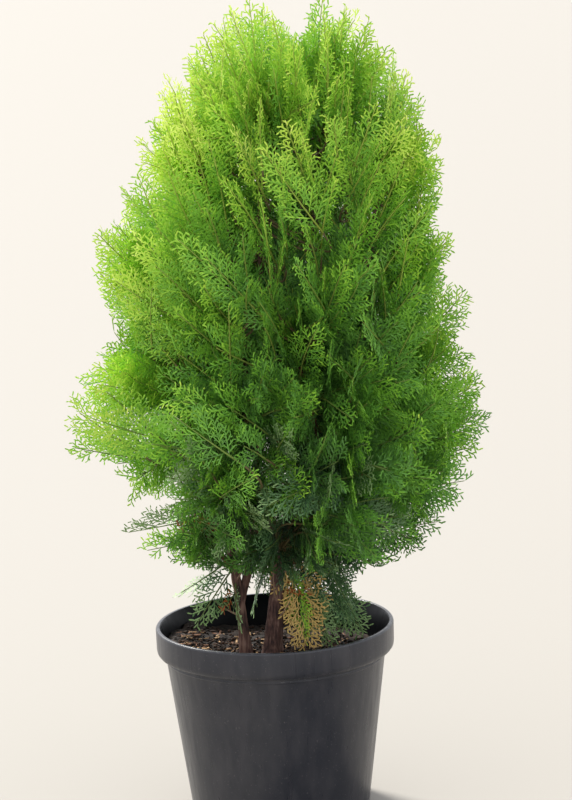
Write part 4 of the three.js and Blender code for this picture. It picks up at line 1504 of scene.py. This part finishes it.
for tier, rib_colour in rib_colours.items():
    rib_bark = plain_material(f"spray midrib, {tier} tier", rib_colour, 0.7)
    tier_fans = [fans for of_tier, groups in fan_groups for fans in groups if of_tier == tier]
    ribs = [midrib(fans, who) for fans in tier_fans for who in np.flatnonzero(fans["reach"] > LEAST_RIB)]
    own = [mass for mass in masses if mass["tier"] == tier]
    nodes = [f"foliage_{mass['name']}" for mass in own]
    main = [mass["twig"] for mass in own]
    thin = [twig for mass in own for twig in outer[mass["name"]][1]]
    twig_piece(f"midribs_{tier}", ribs, rib_bark, nodes, sides=4, steps=6, relief=0)
    twig_piece(f"twigs_{tier}", main, young_bark, nodes, sides=8, steps=16, relief=0.1)
    twig_piece(f"side_twigs_{tier}", thin, green_bark, nodes, sides=5, steps=8, relief=0.06)

# A few bare dead twigs stay on the stems' feet, where shade has killed their sprays: each
# with its stem, its height on it, bearing, slope and length.
BARE_TWIGS = [
    ("stem_left", 0.158, 200, 24, 0.030),
    ("stem_left", 0.172, 250, 38, 0.034),
    ("stem_left", 0.188, 286, 30, 0.040),
    ("stem_left", 0.196, 170, 20, 0.036),
    ("trunk", 0.150, 306, 34, 0.028),
    ("trunk", 0.166, 262, 44, 0.040),
    ("trunk", 0.178, 340, 30, 0.044),
    ("trunk", 0.190, 292, 12, 0.036),
    ("trunk", 0.196, 30, 26, 0.040),
    ("stem_right", 0.205, 318, 22, 0.040),
    ("stem_back", 0.188, 66, 24, 0.036),
    ("stem_back", 0.200, 120, 30, 0.040),
]
BARE_RADII = (0.0009, 0.0003)
BARE_HOOK = (14, 22)  # how far its tip turns and rises


def bare_twig(name, height, bearing, slope, length):
    """A dead twig as a limb: thin, and hooked up a little towards its broken tip."""
    root = on_stem(name, height)
    bend = root + heading(bearing, slope) * length / 2
    tip = bend + heading(bearing + BARE_HOOK[0], slope + BARE_HOOK[1]) * length / 2
    return {"way": bent_way(root, bend, tip), "radius": even_taper(*BARE_RADII)}


dead_twigs = [bare_twig(*twig) for twig in BARE_TWIGS]
bare_twigs = wrapped_piece("bare_twigs", dead_twigs, sides=8, steps=10, relief=0.1)
bare_twigs.data.materials.append(plain_material("dead twig wood", "#8d7460", 0.85))
settle(bare_twigs, "bark", "trunk", "stem_left", "stem_right", "stem_back")

# ---- Studio -----------------------------------------------------------------------------
# A plain pale floor, a soft dome of light, and one broad lamp high on the left and behind.

floor_mesh = bmesh.new()
bmesh.ops.create_grid(floor_mesh, x_segments=1, y_segments=1, size=30)
floor = as_piece("floor", floor_mesh)
floor.data.materials.append(plain_material("pale floor", "#94908a", 0.8))

world = bpy.data.worlds.new("studio")
bpy.context.scene.world = world
world.use_nodes = True
world.node_tree.nodes["Background"].inputs["Color"].default_value = linear("#f4f6fa")
world.node_tree.nodes["Background"].inputs["Strength"].default_value = 1.45

key = bpy.data.lights.new("key", "SUN")
key.energy = 6.6
key.angle = math.radians(14)
key.color = (1, 0.97, 0.91)
key_lamp = bpy.data.objects.new("key", key)
key_lamp.rotation_euler = (math.radians(-38), math.radians(-30), 0)
bpy.context.scene.collection.objects.link(key_lamp)

CAMERA_PLACE = Vector((0, -2.70459, 0.87469))
YAW, PITCH, ROLL = math.radians(0.337), math.radians(-11.381), math.radians(2.2)
forward = Vector((math.sin(YAW) * math.cos(PITCH), math.cos(YAW) * math.cos(PITCH), math.sin(PITCH)))
level_right = Vector((math.cos(YAW), -math.sin(YAW), 0))
level_up = level_right.cross(forward)
right = level_right * math.cos(ROLL) - level_up * math.sin(ROLL)
up = level_right * math.sin(ROLL) + level_up * math.cos(ROLL)
lens = bpy.data.cameras.new("camera")
lens.lens = 157.5
lens.sensor_width = 36
lens.clip_end = 100
camera = bpy.data.objects.new("camera", lens)
turned = Matrix((right, up, -forward)).transposed().to_4x4()
camera.matrix_world = Matrix.Translation(CAMERA_PLACE) @ turned
bpy.context.scene.collection.objects.link(camera)
bpy.context.scene.camera = camera
bpy.context.scene.view_settings.view_transform = "Standard"
